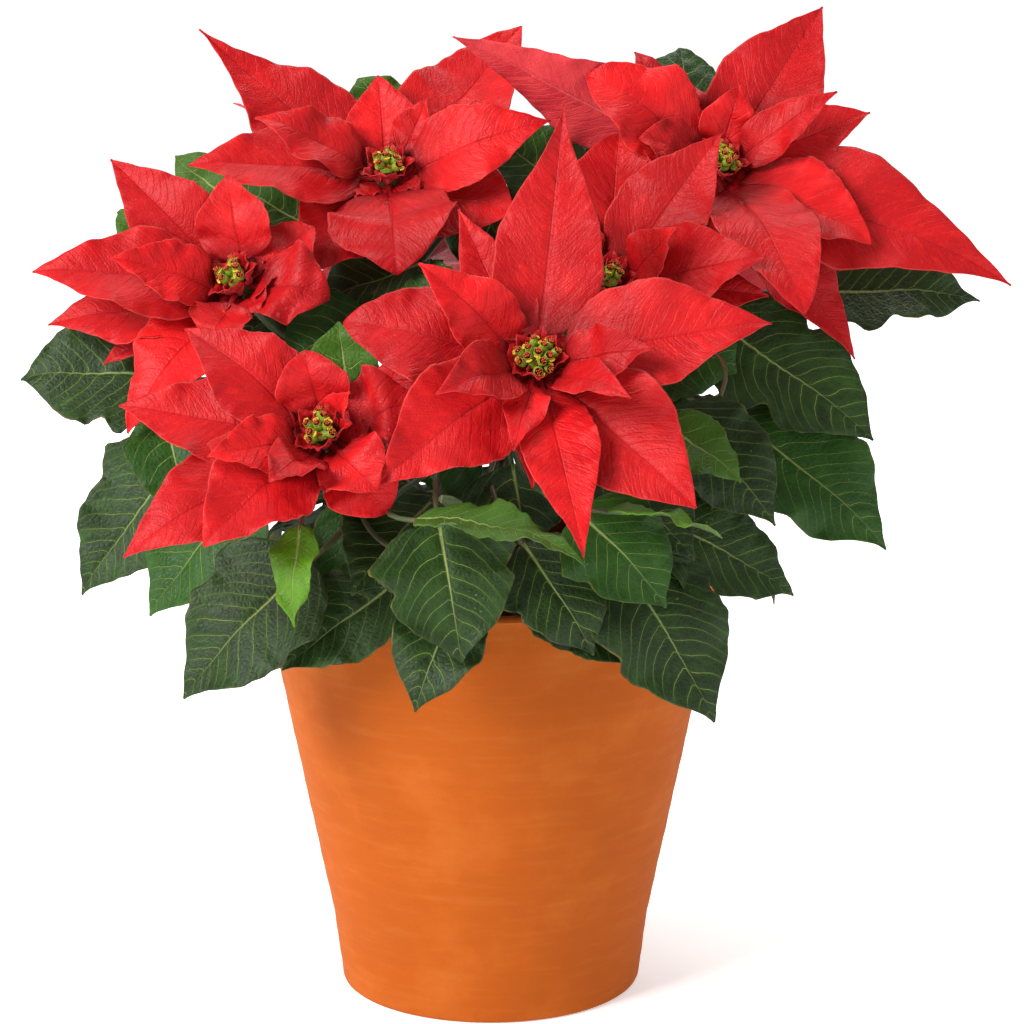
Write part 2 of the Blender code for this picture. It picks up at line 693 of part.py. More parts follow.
def core_shell(place):
    levels = ((-CORE_BELOW, 3.2), (-10.0, CORE_RADIUS), (1.0, CORE_RADIUS), (CORE_ABOVE, 3.6))
    path = [place.centre + place.axis * level for level, radius in levels]
    return tube_shell(path, [radius for level, radius in levels], STEM_SIDES)


def cup_shell(foot, lean):
    """One urn-shaped cup with a narrowed mouth."""
    profile = ((0.0, 0.95), (1.0, 0.7))
    path = [foot + lean * (CUP_HEIGHT * height) for height, radius in profile]
    return tube_shell(path, [CUP_RADIUS * radius for height, radius in profile], CUP_SIDES)


def cup_places(place):
    """Foot and lean of each cup: one in the middle and a ring round it."""
    sideways = squared_off(ACROSS, place.axis)
    forward = place.axis.cross(sideways)
    seat = place.centre + place.axis * (CORE_ABOVE + GAP + 1.0)
    yield seat + place.axis * 0.8, place.axis
    for number in range(CUP_COUNT):
        turn = 2 * math.pi * number / CUP_COUNT + 0.3
        radial = sideways * math.cos(turn) + forward * math.sin(turn)
        rise = 0.9 * (number % 2)
        foot = seat + radial * CUP_RING + place.axis * rise
        yield foot, (place.axis + radial * 0.45).normalized()


def cluster_shells(place):
    seat = place.centre + place.axis * (CORE_ABOVE + GAP)
    shells = [tube_shell([seat, seat + place.axis * 2.6], [5.6, 5.0], STEM_SIDES)]
    shells += [cup_shell(foot, lean) for foot, lean in cup_places(place)]
    return shells


def cluster_guard(place):
    """Plain barrel round the cups, which the bracts are bent clear of."""
    levels = ((0.0, 6.2), (3.0, 8.4), (9.0, 9.2))
    foot = place.centre + place.axis * (CORE_ABOVE + GAP)
    path = [foot + place.axis * level for level, radius in levels]
    return tube_shell(path, [radius for level, radius in levels], 10)


def largest_piece(mesh):
    """Keep the largest connected body of a mesh, and drop scraps and sealed pockets."""
    work = bmesh.new()
    work.from_mesh(mesh)
    along_an_edge = [vertex for vertex in work.verts if len(vertex.link_edges) == 2]
    bmesh.ops.dissolve_verts(work, verts=along_an_edge)
    bmesh.ops.triangulate(work, faces=work.faces)
    left = set(work.verts)
    groups = []
    while left:
        seed = left.pop()
        group = {seed}
        queue = [seed]
        while queue:
            vertex = queue.pop()
            for edge in vertex.link_edges:
                other = edge.other_vert(vertex)
                if other in left:
                    left.remove(other)
                    group.add(other)
                    queue.append(other)
        groups.append(group)
    groups.sort(key=len, reverse=True)
    scraps = [vertex for group in groups[1:] for vertex in group]
    bmesh.ops.delete(work, geom=scraps, context="VERTS")
    work.to_mesh(mesh)
    work.free()


def fuse(name, shells, material):
    """One solid from overlapping shells, by a union of the first with all the others."""
    core = add_object(name, mesh_from(name, *shells[0]), material)
    operands = bpy.data.collections.new(name + "_operands")
    bpy.context.scene.collection.children.link(operands)
    for number, shell in enumerate(shells[1:]):
        piece = bpy.data.objects.new(f"{name}_operand_{number}", mesh_from(name, *shell))
        operands.objects.link(piece)
    union = core.modifiers.new("union", "BOOLEAN")
    union.operation = "UNION"
    union.operand_type = "COLLECTION"
    union.collection = operands
    union.solver = "MANIFOLD"
    depsgraph = bpy.context.evaluated_depsgraph_get()
    fused = bpy.data.meshes.new_from_object(core.evaluated_get(depsgraph))
    core.modifiers.clear()
    core.data = fused
    for piece in list(operands.objects):
        bpy.data.objects.remove(piece, do_unlink=True)
    bpy.data.collections.remove(operands)
    largest_piece(fused)
    fused.materials.clear()
    fused.materials.append(material)
    return core


def turned_shell(profile, sides):
    """Closed solid of revolution about the pot's axis; both profile ends lie on the axis."""
    points = []
    rings = []
    for radius, height in profile:
        if radius == 0.0:
            rings.append([len(points)] * sides)
            points.append(Vector((0.0, 0.0, height)))
            continue
        rings.append(list(range(len(points), len(points) + sides)))
        for side in range(sides):
            turn = 2 * math.pi * side / sides
            points.append(Vector((radius * math.cos(turn), radius * math.sin(turn), height)))
    faces = []
    for lower, upper in zip(rings, rings[1:]):
        for side in range(sides):
            after = (side + 1) % sides
            corners = [lower[side], lower[after], upper[after], upper[side]]
            faces.append(tuple(dict.fromkeys(corners)))
    return points, faces


def pot_radius(height):
    """Outer radius of the pot's wall, which steepens a little toward the foot."""
    if height < POT_BEND_HEIGHT:
        share = height / POT_BEND_HEIGHT
        return POT_FOOT_RADIUS + (POT_BEND_RADIUS - POT_FOOT_RADIUS) * share
    share = (height - POT_BEND_HEIGHT) / (POT_HEIGHT - POT_BEND_HEIGHT)
    return POT_BEND_RADIUS + (POT_TOP_RADIUS - POT_BEND_RADIUS) * share


def inner_radius(height):
    return pot_radius(height) - POT_WALL


def pot_profile():
    lip = POT_HEIGHT - POT_LIP
    outside = [(0.0, 0.0), (POT_FOOT_RADIUS - 1.5, 0.0), (pot_radius(1.5), 1.5)]
    outside += [(POT_BEND_RADIUS, POT_BEND_HEIGHT), (pot_radius(lip), lip)]
    outside += [(pot_radius(lip) - 1.4, POT_HEIGHT), (inner_radius(lip) + 1.4, POT_HEIGHT)]
    inside = [(inner_radius(lip), lip), (inner_radius(POT_BEND_HEIGHT), POT_BEND_HEIGHT)]
    inside += [(inner_radius(POT_FLOOR), POT_FLOOR), (0.0, POT_FLOOR)]
    return outside + inside


def make_pot(material):
    pot = add_object("pot", mesh_from("pot", *turned_shell(pot_profile(), POT_SIDES)), material)
    for number in range(DRAIN_COUNT):
        turn = 2 * math.pi * number / DRAIN_COUNT + math.pi / 6
        centre = Vector((math.cos(turn), math.sin(turn), 0.0)) * DRAIN_OFFSET
        path = [centre - SKY * 3, centre + SKY * (POT_FLOOR + 3)]
        cut_with(pot, tube_shell(path, [DRAIN_RADIUS] * 2, DRAIN_SIDES), f"drain_cutter_{number}")
    shade_round(pot)
    return pot


def cut_with(item, shell, name):
    """Cut a hidden shape out of an object with a live modifier."""
    cutter = add_object(name, mesh_from(name, *shell))
    cutter.hide_render = True
    cutter.display_type = "WIRE"
    cut = item.modifiers.new(name, "BOOLEAN")
    cut.operation = "DIFFERENCE"
    cut.object = cutter


def shade_round(item):
    item.data.shade_smooth()
    item.data.set_sharp_from_angle(angle=math.radians(35))


def soil_height(x, y):
    """Crumbled surface of the peat, as three crossing ripples."""
    ripple = math.sin(0.11 * x + 0.4) * math.cos(0.13 * y)
    ripple += 0.6 * math.sin(0.23 * x + 0.19 * y + 1.1)
    ripple += 0.4 * math.cos(0.31 * y - 0.17 * x)
    return SOIL_TOP + SOIL_RELIEF * ripple / 2


def soil_shell():
    """Peat that fills the pot, level to a few millimetres and heaped nowhere."""
    edge = inner_radius(SOIL_TOP) - GAP
    floor = POT_FLOOR + GAP
    points = [Vector((0.0, 0.0, floor))]
    rings = []
    walls = ((inner_radius(floor) - GAP, floor), (inner_radius(POT_BEND_HEIGHT) - GAP, POT_BEND_HEIGHT))
    for radius, height in walls:
        rings.append(ring_indices(points, radius, lambda x, y, level=height: level))
    for ring in range(SOIL_RINGS, 0, -1):
        radius = edge * ring / SOIL_RINGS
        level = soil_height if ring < SOIL_RINGS else (lambda x, y: SOIL_TOP)
        rings.append(ring_indices(points, radius, level))
    top = len(points)
    points.append(Vector((0.0, 0.0, soil_height(0.0, 0.0))))
    faces = []
    for side in range(POT_SIDES):
        after = (side + 1) % POT_SIDES
        faces.append((0, rings[0][after], rings[0][side]))
        for lower, upper in zip(rings, rings[1:]):
            faces.append((lower[side], lower[after], upper[after], upper[side]))
        faces.append((rings[-1][side], rings[-1][after], top))
    return points, faces


def ring_indices(points, radius, level):
    """Add a ring of points at a radius and return their places in the list."""
    first = len(points)
    for side in range(POT_SIDES):
        turn = 2 * math.pi * side / POT_SIDES
        x = radius * math.cos(turn)
        y = radius * math.sin(turn)
        points.append(Vector((x, y, level(x, y))))
    return list(range(first, first + POT_SIDES))


def make_soil(material):
    points, faces = soil_shell()
    mesh = mesh_from("potting_soil", points, faces)
    work = bmesh.new()
    work.from_mesh(mesh)
    bmesh.ops.triangulate(work, faces=work.faces)
    work.to_mesh(mesh)
    work.free()
    soil = add_object("potting_soil", mesh, material)
    for plant, (ground, fork) in PLANTS.items():
        path = [ground - SKY * HOLE_DEPTH, ground + SKY * 20]
        hole = tube_shell(path, [(TRUNK_RADIUS + GAP) / math.cos(math.pi / 12)] * 2, 12)
        cut_with(soil, hole, f"hole_cutter_{plant}")
    return soil


def hanging_face(tip, outward_share):
    """Upper face of a leaf: it looks up and away from the pot's axis."""
    outward = Vector((tip.x, tip.y, 0.0)).normalized()
    return SKY + outward * outward_share


def seen_leaves():
    for number, row in enumerate(LEAVES):
        place = next(item for item in BLOOMS if item.name == row["plant"])
        start = branch_point(place, row["reach"])
        base = seen_at(*row["base"])
        tip = seen_at(*row["tip"])
        face = hanging_face(tip, 0.3) + TOWARD * LEAF_TO_VIEWER
        yield place.plant, Blade(start, base, tip, face, row["width"], row["bow"], row["roll"],
                                 row["fold"], row["wave"], number * 2.1, row["lobe"], 0.95, True)


def nearest_branch(point, s):
    return min(BLOOMS, key=lambda place: (branch_point(place, s) - point).length)


def side_leaves():
    """Two hanging layers of leaves round the sides and back, at even bearings."""
    for number, bearing in enumerate(SIDE_LEAF_BEARINGS):
        for layer, (near, far, base_height, tip_height) in enumerate((LOW_LEAF, HIGH_LEAF)):
            turn = math.radians(bearing + 9 * layer)
            swing = turn + 0.16 * math.sin(2.4 * number + layer)
            reach = far + 8 * math.sin(1.9 * number + 2 * layer)
            reach -= SIDE_LEAF_DRAW_IN * math.cos(turn) ** 2
            base = Vector((near * math.cos(turn), near * math.sin(turn), base_height))
            drop = 6 * math.cos(2.7 * number)
            tip = Vector((reach * math.cos(swing), reach * math.sin(swing), tip_height + drop))
            s = 0.12 if layer == 0 else 0.55
            place = nearest_branch(base, s)
            width = SIDE_LEAF_WIDTH + 5 * math.sin(3.1 * number)
            lobe = 0.14 * (number % 2)
            yield place.plant, Blade(branch_point(place, s), base, tip, hanging_face(tip, 1.2), width,
                                     bow=9, fold=0.0, wave=2.2, phase=number * 1.3, lobe=lobe,
                                     leaf=True, far=True)


def ring_leaves(bearings, sizes, width, s, outward_share):
    """A ring of leaves that leave the branches at s and look up and outward."""
    near, far, base_height, tip_height = sizes
    for number, bearing in enumerate(bearings):
        turn = math.radians(bearing)
        base = Vector((near * math.cos(turn), near * math.sin(turn), base_height))
        tip = Vector((far * math.cos(turn), far * math.sin(turn), tip_height))
        place = nearest_branch(base, s)
        face = hanging_face(tip, outward_share)
        yield place.plant, Blade(branch_point(place, s), base, tip, face, width, fold=0.0,
                                 wave=2.4, phase=number * 1.1, taper=0.95, leaf=True, far=True)


def inner_leaves():
    """Leaves that lie out over the soil behind the stems."""
    return ring_leaves(INNER_LEAF_BEARINGS, INNER_LEAF, INNER_LEAF_WIDTH, 0.05, 0.0)


def crown_leaves():
    """Leaves that stand out from the stems between the blooms."""
    return ring_leaves(CROWN_LEAF_BEARINGS, CROWN_LEAF, CROWN_LEAF_WIDTH, 0.5, 0.9)


def lay_fixed(bed):
    """Enter what the blades have to clear: pot, soil, stems, cores and cup clusters."""
    bed.add_solid(*turned_shell(pot_profile(), POT_SIDES), "pot")
    bed.add_solid(*soil_shell(), "potting_soil")
    for plant in PLANTS:
        bed.add_solid(*trunk_shell(plant), "plant_" + plant)
    for place in BLOOMS:
        bed.add_solid(*branch_shell(place), "plant_" + place.plant)
        bed.add_solid(*core_shell(place), "bloom_" + place.name)
        guard = cluster_guard(place)
        bed.add_solid(*guard, "cyathia_" + place.name)


def drawn_blades():
    """Every blade as drawn, with the node that it belongs to."""
    for place in BLOOMS:
        rule = seen_bracts if place.name in BRACTS else back_bracts
        for blade in rule(place):
            yield "bloom_" + place.name, blade
    for rule in (seen_leaves, side_leaves, inner_leaves, crown_leaves):
        for plant, blade in rule():
            yield "plant_" + plant, blade


def place_blades(bed):
    """Blades of each node, every one bent clear of all that were placed before it."""
    placed = {"bloom_" + place.name: [] for place in BLOOMS}
    placed.update({"plant_" + plant: [] for plant in PLANTS})
    for node, blade in drawn_blades():
        chosen = bed.place(blade, node)
        if chosen:
            placed[node].append(chosen)
    return placed


def make_blooms(placed, red, gold):
    for place in BLOOMS:
        name = "bloom_" + place.name
        fuse(name, [core_shell(place)] + [coarse_shell(blade) for blade in placed[name]], red)
        fuse("cyathia_" + place.name, cluster_shells(place), gold)


def make_plants(placed, green):
    for plant in PLANTS:
        name = "plant_" + plant
        shells = [trunk_shell(plant)]
        shells += [branch_shell(place) for place in BLOOMS if place.plant == plant]
        shells += [coarse_shell(blade) for blade in placed[name]]
        fuse(name, shells, green)


def build():
    clear_scene()
    terracotta = make_material("fired_terracotta", (0.62, 0.13, 0.02), 0.75)
    peat = make_material("potting_peat", (0.03, 0.018, 0.01), 0.95)
    red = make_material("red_bract", (0.85, 0.02, 0.02), 0.5, sheen=0.2)
    green = make_material("green_leaf", (0.03, 0.07, 0.02), 0.45)
    gold = make_material("yellow_green_cup", (0.45, 0.4, 0.03), 0.5)
    bed = Bed()
    lay_fixed(bed)
    placed = place_blades(bed)
    make_pot(terracotta)
    make_soil(peat)
    make_plants(placed, green)
    make_blooms(placed, red, gold)


build()
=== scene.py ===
"""Looks of a potted poinsettia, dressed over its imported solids.

Lengths are millimetres until a mesh is made. The origin is the centre of the pot's flat
underside, +Z is up and the viewer stands on the -Y side.
"""

import math
from dataclasses import dataclass, replace
from functools import partial
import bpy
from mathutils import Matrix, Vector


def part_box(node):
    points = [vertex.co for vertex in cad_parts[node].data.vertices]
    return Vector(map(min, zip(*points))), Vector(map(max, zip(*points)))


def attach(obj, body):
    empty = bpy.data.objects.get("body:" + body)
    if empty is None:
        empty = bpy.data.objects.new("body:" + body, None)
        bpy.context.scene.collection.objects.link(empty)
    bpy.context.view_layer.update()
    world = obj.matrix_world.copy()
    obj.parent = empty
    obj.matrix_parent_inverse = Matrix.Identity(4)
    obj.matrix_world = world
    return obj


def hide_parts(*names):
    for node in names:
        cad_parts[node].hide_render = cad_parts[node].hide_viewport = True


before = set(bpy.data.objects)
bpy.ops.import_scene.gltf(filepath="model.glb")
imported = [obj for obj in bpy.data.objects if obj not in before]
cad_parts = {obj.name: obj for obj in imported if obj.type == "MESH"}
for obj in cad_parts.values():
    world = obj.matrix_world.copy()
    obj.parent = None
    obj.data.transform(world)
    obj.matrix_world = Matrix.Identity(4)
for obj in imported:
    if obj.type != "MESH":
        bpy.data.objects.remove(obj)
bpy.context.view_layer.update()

from types import SimpleNamespace

import bmesh
import bpy
import numpy as np
from mathutils import Matrix, Vector, noise
from mathutils.bvhtree import BVHTree

bl_info = {
    "name": "Potted Poinsettia",
    "version": (1, 0, 0),
    "blender": (4, 5, 0),
    "location": "View3D > Sidebar > Poinsettia",
    "description": "Dresses the solids of a potted poinsettia with its leaves, bracts, clay and peat",
    "category": "Object",
}

MM = 0.001
GOLDEN_TURN = math.radians(137.5)
FIXED_SEED = 20

# Pot, as turned by the potter
POT_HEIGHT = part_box("pot")[1].z / MM
POT_TOP_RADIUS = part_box("pot")[1].x / MM
POT_FOOT_RADIUS = 69.5
POT_BEND_HEIGHT = 33.0
POT_BEND_RADIUS = 73.6
POT_WALL = 6.0
POT_FLOOR = 10.0
POT_LIP = 2.4
LIP_STEPS = 10
LIP_BELOW_TOP = 2.0
POT_SIDES = 144
# How far in from the foot's outline its rounded edge lies, and how high
FOOT_EDGE = ((2.2, 0.0), (1.2, 0.3), (0.3, 1.0))
DRAIN_RADIUS = 5.0
DRAIN_OFFSET = 32.0
DRAIN_COUNT = 3
DRILL_PAST = 3.0

# Peat
SOIL_TOP = 182.0
SOIL_RELIEF = 2.5
HOLE_DEPTH = 42.0
GAP = 0.3
PEAT_RINGS = 44
PEAT_SIDES = 120
LUMP_SIZE = 9.0
LUMP_HEIGHT = 1.5
# Grains lie on the top only: this far off the wall, and no deeper than this
BARE_AT_WALL = 4.0
BARE_BELOW = 12.0

# Stems: half thicknesses, and the heights where the bark is whole and where it ends
TRUNK_RADIUS = 5.5
BRANCH_RADIUS = 3.6
TWIG_RADIUS = 3.0
STALK_RADII = (1.75, 1.6, 1.45, 1.35, 1.3, 1.25, 1.2, 1.15, 1.15, 1.2)
BRANCH_ROWS = 26
BARK_WHOLE, BARK_ENDS = 212.0, 262.0

# Bloom hearts
CORE_RADIUS = 5.0
CORE_BELOW = 14.0
CORE_ABOVE = 3.0
# Height on the axis and half thickness of a core as it is dressed
CORE_OUTLINE = ((-CORE_BELOW, 3.3), (-10.0, CORE_RADIUS), (0.0, CORE_RADIUS), (CORE_ABOVE, 4.0))

# Cups of a heart, as half thickness and height of each ring from the foot to the bottom inside
URN_SIDES = 12
URN_OUTSIDE = ((0.0, 0.0), (0.9, 0.0), (1.7, 0.7), (2.15, 1.9), (2.2, 3.0), (1.9, 4.0), (1.55, 4.6),
               (1.85, 5.1))
URN_INSIDE = ((1.55, 5.05), (1.4, 4.5), (1.5, 3.4), (0.0, 2.8))
GLAND_OUT = 2.3
STAMENS = 7
STAMEN_HEADS_FROM = 5.6
BRACTLET_COUNT = 9

# Bracts and leaves, as the solids have them
SHEET_THICKNESS = 0.8
NECK_THICKNESS = 2.0
BRACT_NECK_WIDTH = 2.8
LEAF_NECK_WIDTH = 2.6
BRACT_NECK_LENGTH = 9.0
TIP_WIDTH = 0.9
NECK_THINS_BY = 0.2
STALK_BEND = 0.45
RIPPLES = 2.3
BLADE_PHASE = 1.7
STATIONS_BY_WIDTH = (
    (33.0, (0.0, 0.18, 0.5, 1.0)),
    (49.0, (0.0, 0.16, 0.42, 0.72, 1.0)),
    (99.0, (0.0, 0.13, 0.32, 0.54, 0.78, 1.0)),
)
FAR_LEAF_STATIONS = (0.0, 0.15, 0.4, 0.72, 1.0)
ROOT_OFFSET = 2.0
NECK_RADIAL_SHARE = 0.8
NECK_AIM_SHARE = 0.4
BRACT_TO_VIEWER = 0.6
LEAF_TO_VIEWER = 1.6
LOBE_AT = 0.27
NOTCH_AT = 0.42
NOTCH_DEPTH = 1.2
LOBE_STAGGER = 0.03
LOBE_SPREAD = 0.06

# How near a solid's surface a blade's marks have to lie, and how many of them
MARK_TOLERANCE = 0.05
LEAST_SHARE_OF_MARKS = 0.6

# The floor that it all stands on
FLOOR_RADIUS = 3000.0
# How strongly the floor glows by itself far from the plant: painted light that keeps it white
FAR_GLOW = 0.8

# How bright the room is low down, behind the plant in the picture
BACKDROP_GLOW = 1.1

# Soft lights: name, the setting with its power, its place and its width, both in metres
LAMPS = (("window_left", "key", (-1.7, -1.35, 1.6), 1.2),
         ("fill_right", "fill", (1.9, -1.3, 0.9), 1.4),
         ("top_back", "top", (0.2, 0.9, 2.1), 1.2))
LAMPS_AIM = Vector((0.0, 0.0, 0.25))

# The camera's picture
PICTURE_WIDTH = 1024
PIXEL_SIZE = 0.46
SENSOR_WIDTH = 36.0

# Small bracts at the heart: how many, reach, width, height of foot and of tip over the core, fold
INNER_BRACTS = ((8, 27.0, 20.0, -6.5, -4.0, 0.1), (6, 14.0, 9.5, -2.5, 6.0, 0.35))

# How finely a blade's own mesh is laid, and what it has that the solid leaves out
ROW_STEP = 1.75
COLUMN_STEP = 2.5
FEWEST_ROWS, MOST_ROWS = 16, 62
FEWEST_COLUMNS, MOST_COLUMNS = 5, 10
RIM_AT = 0.965
NECK_ROWS = 4
BRACT_VEIN_SPACING = 5.0
LEAF_VEIN_SPACING = 7.0
FLAT_FROM = 0.12
BLADE_READS = ("along", "across", "vein", "under", "tone", "young")

# Waves of a blade in mm, and where they start or stop: half widths in mm, places from 0 to 1
SWAY = 1.7
BUCKLE = 1.2
TWIST = 0.17
LEAF_FRILL = 1.2
CURL_FROM = 0.82
RIB_WIDTH = 1.1
FULL_PANEL_REACH = 9.0
SMALL_WIDTH = 26.0

# How young a leaf narrower than this is, where 1 is the freshest green
YOUNG_BY_WIDTH = ((22.0, 0.85), (31.0, 0.35))

# The line of sight that the places below are read along
VIEW_TILT = math.radians(12.5)
EYE_DISTANCE = 1600.0
VIEW_CENTRE = Vector((10.0, 0.0, 223.0))
ACROSS = Vector((1.0, 0.0, 0.0))
UPWARD = Vector((0.0, math.sin(VIEW_TILT), math.cos(VIEW_TILT)))
TOWARD = Vector((0.0, -math.cos(VIEW_TILT), math.sin(VIEW_TILT)))
SKY = Vector((0.0, 0.0, 1.0))


def seen_at(across, up, toward):
    """A place read on the plane through the pot's axis, then drawn toward the eye."""
    scale = 1.0 - toward / EYE_DISTANCE
    return VIEW_CENTRE + (ACROSS * across + UPWARD * up) * scale + TOWARD * toward


def view_vector(across, up, toward):
    return ACROSS * across + UPWARD * up + TOWARD * toward


def at_bearing(radius, turn, height):
    return Vector((radius * math.cos(turn), radius * math.sin(turn), height))


@dataclass
class Bloom:
    name: str
    centre: Vector
    axis: Vector
    plant: str


def bloom(name, plant, centre, axis):
    return Bloom(name, seen_at(*centre), view_vector(*axis).normalized(), plant)


BLOOMS = (
    bloom("front", "middle", (11.5, 69, 112), (0.05, 0.45, 0.9)),
    bloom("upper_left", "left", (-57.5, 157, 4), (-0.05, 0.7, 0.7)),
    bloom("upper_right", "right", (95, 159, 14), (0.25, 0.6, 0.75)),
    bloom("lower_left", "left", (-87, 36, 120), (-0.25, 0.5, 0.83)),
    bloom("left", "left", (-126.5, 106, 43), (-0.45, 0.6, 0.66)),
    bloom("middle_right", "right", (44, 106, 48), (0.1, 0.6, 0.8)),
    bloom("back_left", "middle", (-58, 118, -98), (-0.3, 0.75, -0.6)),
    bloom("back_right", "right", (72, 112, -92), (0.35, 0.7, -0.6)),
)


@dataclass
class Blade:
    """One bract or leaf: a neck, then a thin arched sheet that ends in a point."""

    start: Vector
    base: Vector
    tip: Vector
    face: Vector
    width: float
    bow: float = 6.0
    roll: float = 0.0
    fold: float = 0.22
    wave: float = 1.6
    phase: float = 0.0
    lobe: float = 0.0
    taper: float = 1.15
    leaf: bool = False
    far: bool = False
    spread: float = 1.0


def bract(tip, width, bow=7, roll=0, fold=0.2, wave=1.6, level=-3, taper=1.1):
    """One seen bract: its tip from the bloom's centre as (across, up, toward)."""
    return dict(tip=tip, width=width, bow=bow, roll=roll, fold=fold, wave=wave, level=level,
                taper=taper)


BRACTS = {
    "front": (
        bract((12, 112, -14), 46, bow=-5, fold=0.12, wave=1.0, level=-2, taper=1.4),
        bract((100, 17, 8), 46, bow=12, roll=-8, fold=0.25),
        bract((66, -62, 34), 50, bow=10, fold=0.15, taper=0.95),
        bract((19, -82, 34), 32, bow=8, fold=0.25),
        bract((-68, -53, 28), 46, bow=12, fold=0.18),
        bract((-84, 18, -4), 44, bow=16, fold=0.1, level=-5, taper=0.8),
        bract((-34, 68, -16), 28, bow=-4, fold=0.3, level=-2),
        bract((-50, 42, -8), 30, bow=4, level=-7),
        bract((49, 5, 26), 24, bow=5, fold=0.3, level=0),
        bract((38, -16, 34), 20, bow=4, level=-1),
        bract((-10, -38, 34), 18, bow=3, level=0),
        bract((-2, -54, 12), 20, bow=6, level=-8),
        bract((-42, -14, 32), 28, bow=6, fold=0.3, level=0),
        bract((-78, -10, -22), 32, bow=10, wave=3.0, level=-9, taper=0.9),
    ),
    "upper_left": (
        bract((-87, 67, -12), 46, bow=-8, fold=0.1, wave=3.0, level=-5, taper=1.5),
        bract((-90, 2, 14), 44, bow=11, fold=0.2),
        bract((-60, 24, 2), 30, bow=6, wave=2.6, level=-1),
        bract((-5, 47, -22), 32, bow=3, level=-4),
        bract((18, 34, -2), 20, bow=-2, level=-1),
        bract((32, 35, -12), 26, bow=-3, level=-3),
        bract((62, 75, -38), 46, bow=6, level=-7, taper=0.95),
        bract((75, 22, 12), 38, bow=9, roll=14, level=-4),
        bract((6, -50, 40), 54, bow=12, fold=0.1, level=-3, taper=0.8),
        bract((-32, -46, 12), 42, bow=14, fold=0.25, wave=3.0, level=-7, taper=0.8),
        bract((58, -20, -6), 44, bow=8, level=-9, taper=0.8),
        bract((-74, 38, -44), 20, bow=6, roll=60, level=-9),
    ),
    "upper_right": (
        bract((50, 77, -26), 48, bow=5, level=-5),
        bract((70, 26, -6), 34, bow=6, level=-3),
        bract((134, -54, 2), 54, bow=24, fold=0.15, level=-8, taper=1.25),
        bract((68, -36, 18), 42, bow=12, level=-3, taper=0.9),
        bract((35, -70, 38), 44, bow=14, fold=0.2, level=-3, taper=0.8),
        bract((62, -88, 16), 34, bow=14, level=-8),
        bract((-121, 58, 12), 38, bow=14, roll=125, fold=0.15, level=-7),
        bract((-60, 42, 2), 42, bow=12, wave=3.2, level=-5, taper=0.7),
        bract((-37, 57, -24), 32, bow=3, level=-7),
        bract((-10, 30, -6), 15, bow=2, level=0),
        bract((10, 38, -12), 26, bow=3, level=-2),
        bract((53, 33, 4), 22, bow=4, level=-1),
        bract((-36, 12, 20), 28, bow=6, wave=2.4, level=-1, taper=0.8),
        bract((-2, -48, 34), 20, bow=6, roll=-40, level=-1),
    ),
    "lower_left": (
        bract((-60, 46, -12), 38, bow=12, roll=10, fold=0.2, level=-3),
        bract((-89, 13, 4), 40, bow=11, fold=0.2, level=-3),
        bract((-83, -52, 18), 46, bow=12, fold=0.15, level=-6),
        bract((-46, -9, 28), 26, bow=5, wave=2.2, level=0),
        bract((-48, -47, 34), 42, bow=10, level=-3, taper=0.9),
        bract((-20, -31, 34), 24, bow=5, level=-1, taper=0.9),
        bract((24, -24, 32), 30, bow=5, level=-2, taper=0.8),
        bract((28, -34, 8), 32, bow=8, level=-8, taper=0.7),
        bract((41, 14, 2), 36, bow=8, wave=2.4, level=-4, taper=0.8),
        bract((-8, 36, -4), 30, bow=2, level=-2, taper=0.8),
        bract((12, 17, 14), 15, bow=1, level=1),
    ),
    "left": (
        bract((-59, 57, -18), 38, bow=8, level=-4),
        bract((-92, 5, 2), 44, bow=16, level=-3),
        bract((-87, -18, 12), 40, bow=12, level=-7),
        bract((-54, 10, 20), 28, bow=6, level=0),
        bract((-5, 48, -2), 34, bow=4, level=-2, taper=0.9),
        bract((43, -8, 16), 34, bow=10, wave=3.0, level=-3, taper=0.8),
        bract((34, 26, 4), 34, bow=6, wave=2.6, level=-2, taper=0.9),
        bract((-48, -68, 20), 38, bow=14, level=-6),
        bract((-62, -36, -12), 22, bow=6, level=-9),
        bract((-10, -27, 26), 28, bow=5, wave=2.4, level=-1, taper=0.8),
    ),
    "middle_right": (
        bract((51, 67, -4), 42, bow=4, level=-3),
        bract((69, 10, 18), 38, bow=8, fold=0.25, level=-3),
        bract((72, -6, 2), 32, bow=8, level=-7),
        bract((28, 22, 24), 24, bow=6, level=0),
        bract((6, 70, -22), 46, bow=6, wave=2.6, level=-5, taper=0.8),
        bract((4, -40, 16), 30, bow=8, level=-5),
        bract((-38, 38, -14), 30, bow=6, level=-4),
        bract((-44, -8, -12), 30, bow=8, level=-8),
    ),
}

BACK_BRACT_COUNT = 10
BACK_BRACT_LONG = 96.0
BACK_BRACT_SHORT = 44.0


def leaf(plant, reach, base, tip, width, bow=8, roll=0, fold=0.16, wave=2.0, lobe=0.0, spread=1.0):
    """One seen leaf: where its sheet begins and ends, as read along the line of sight."""
    return dict(plant=plant, reach=reach, base=base, tip=tip, width=width, bow=bow,
                roll=roll, fold=fold, wave=wave, lobe=lobe, spread=spread)


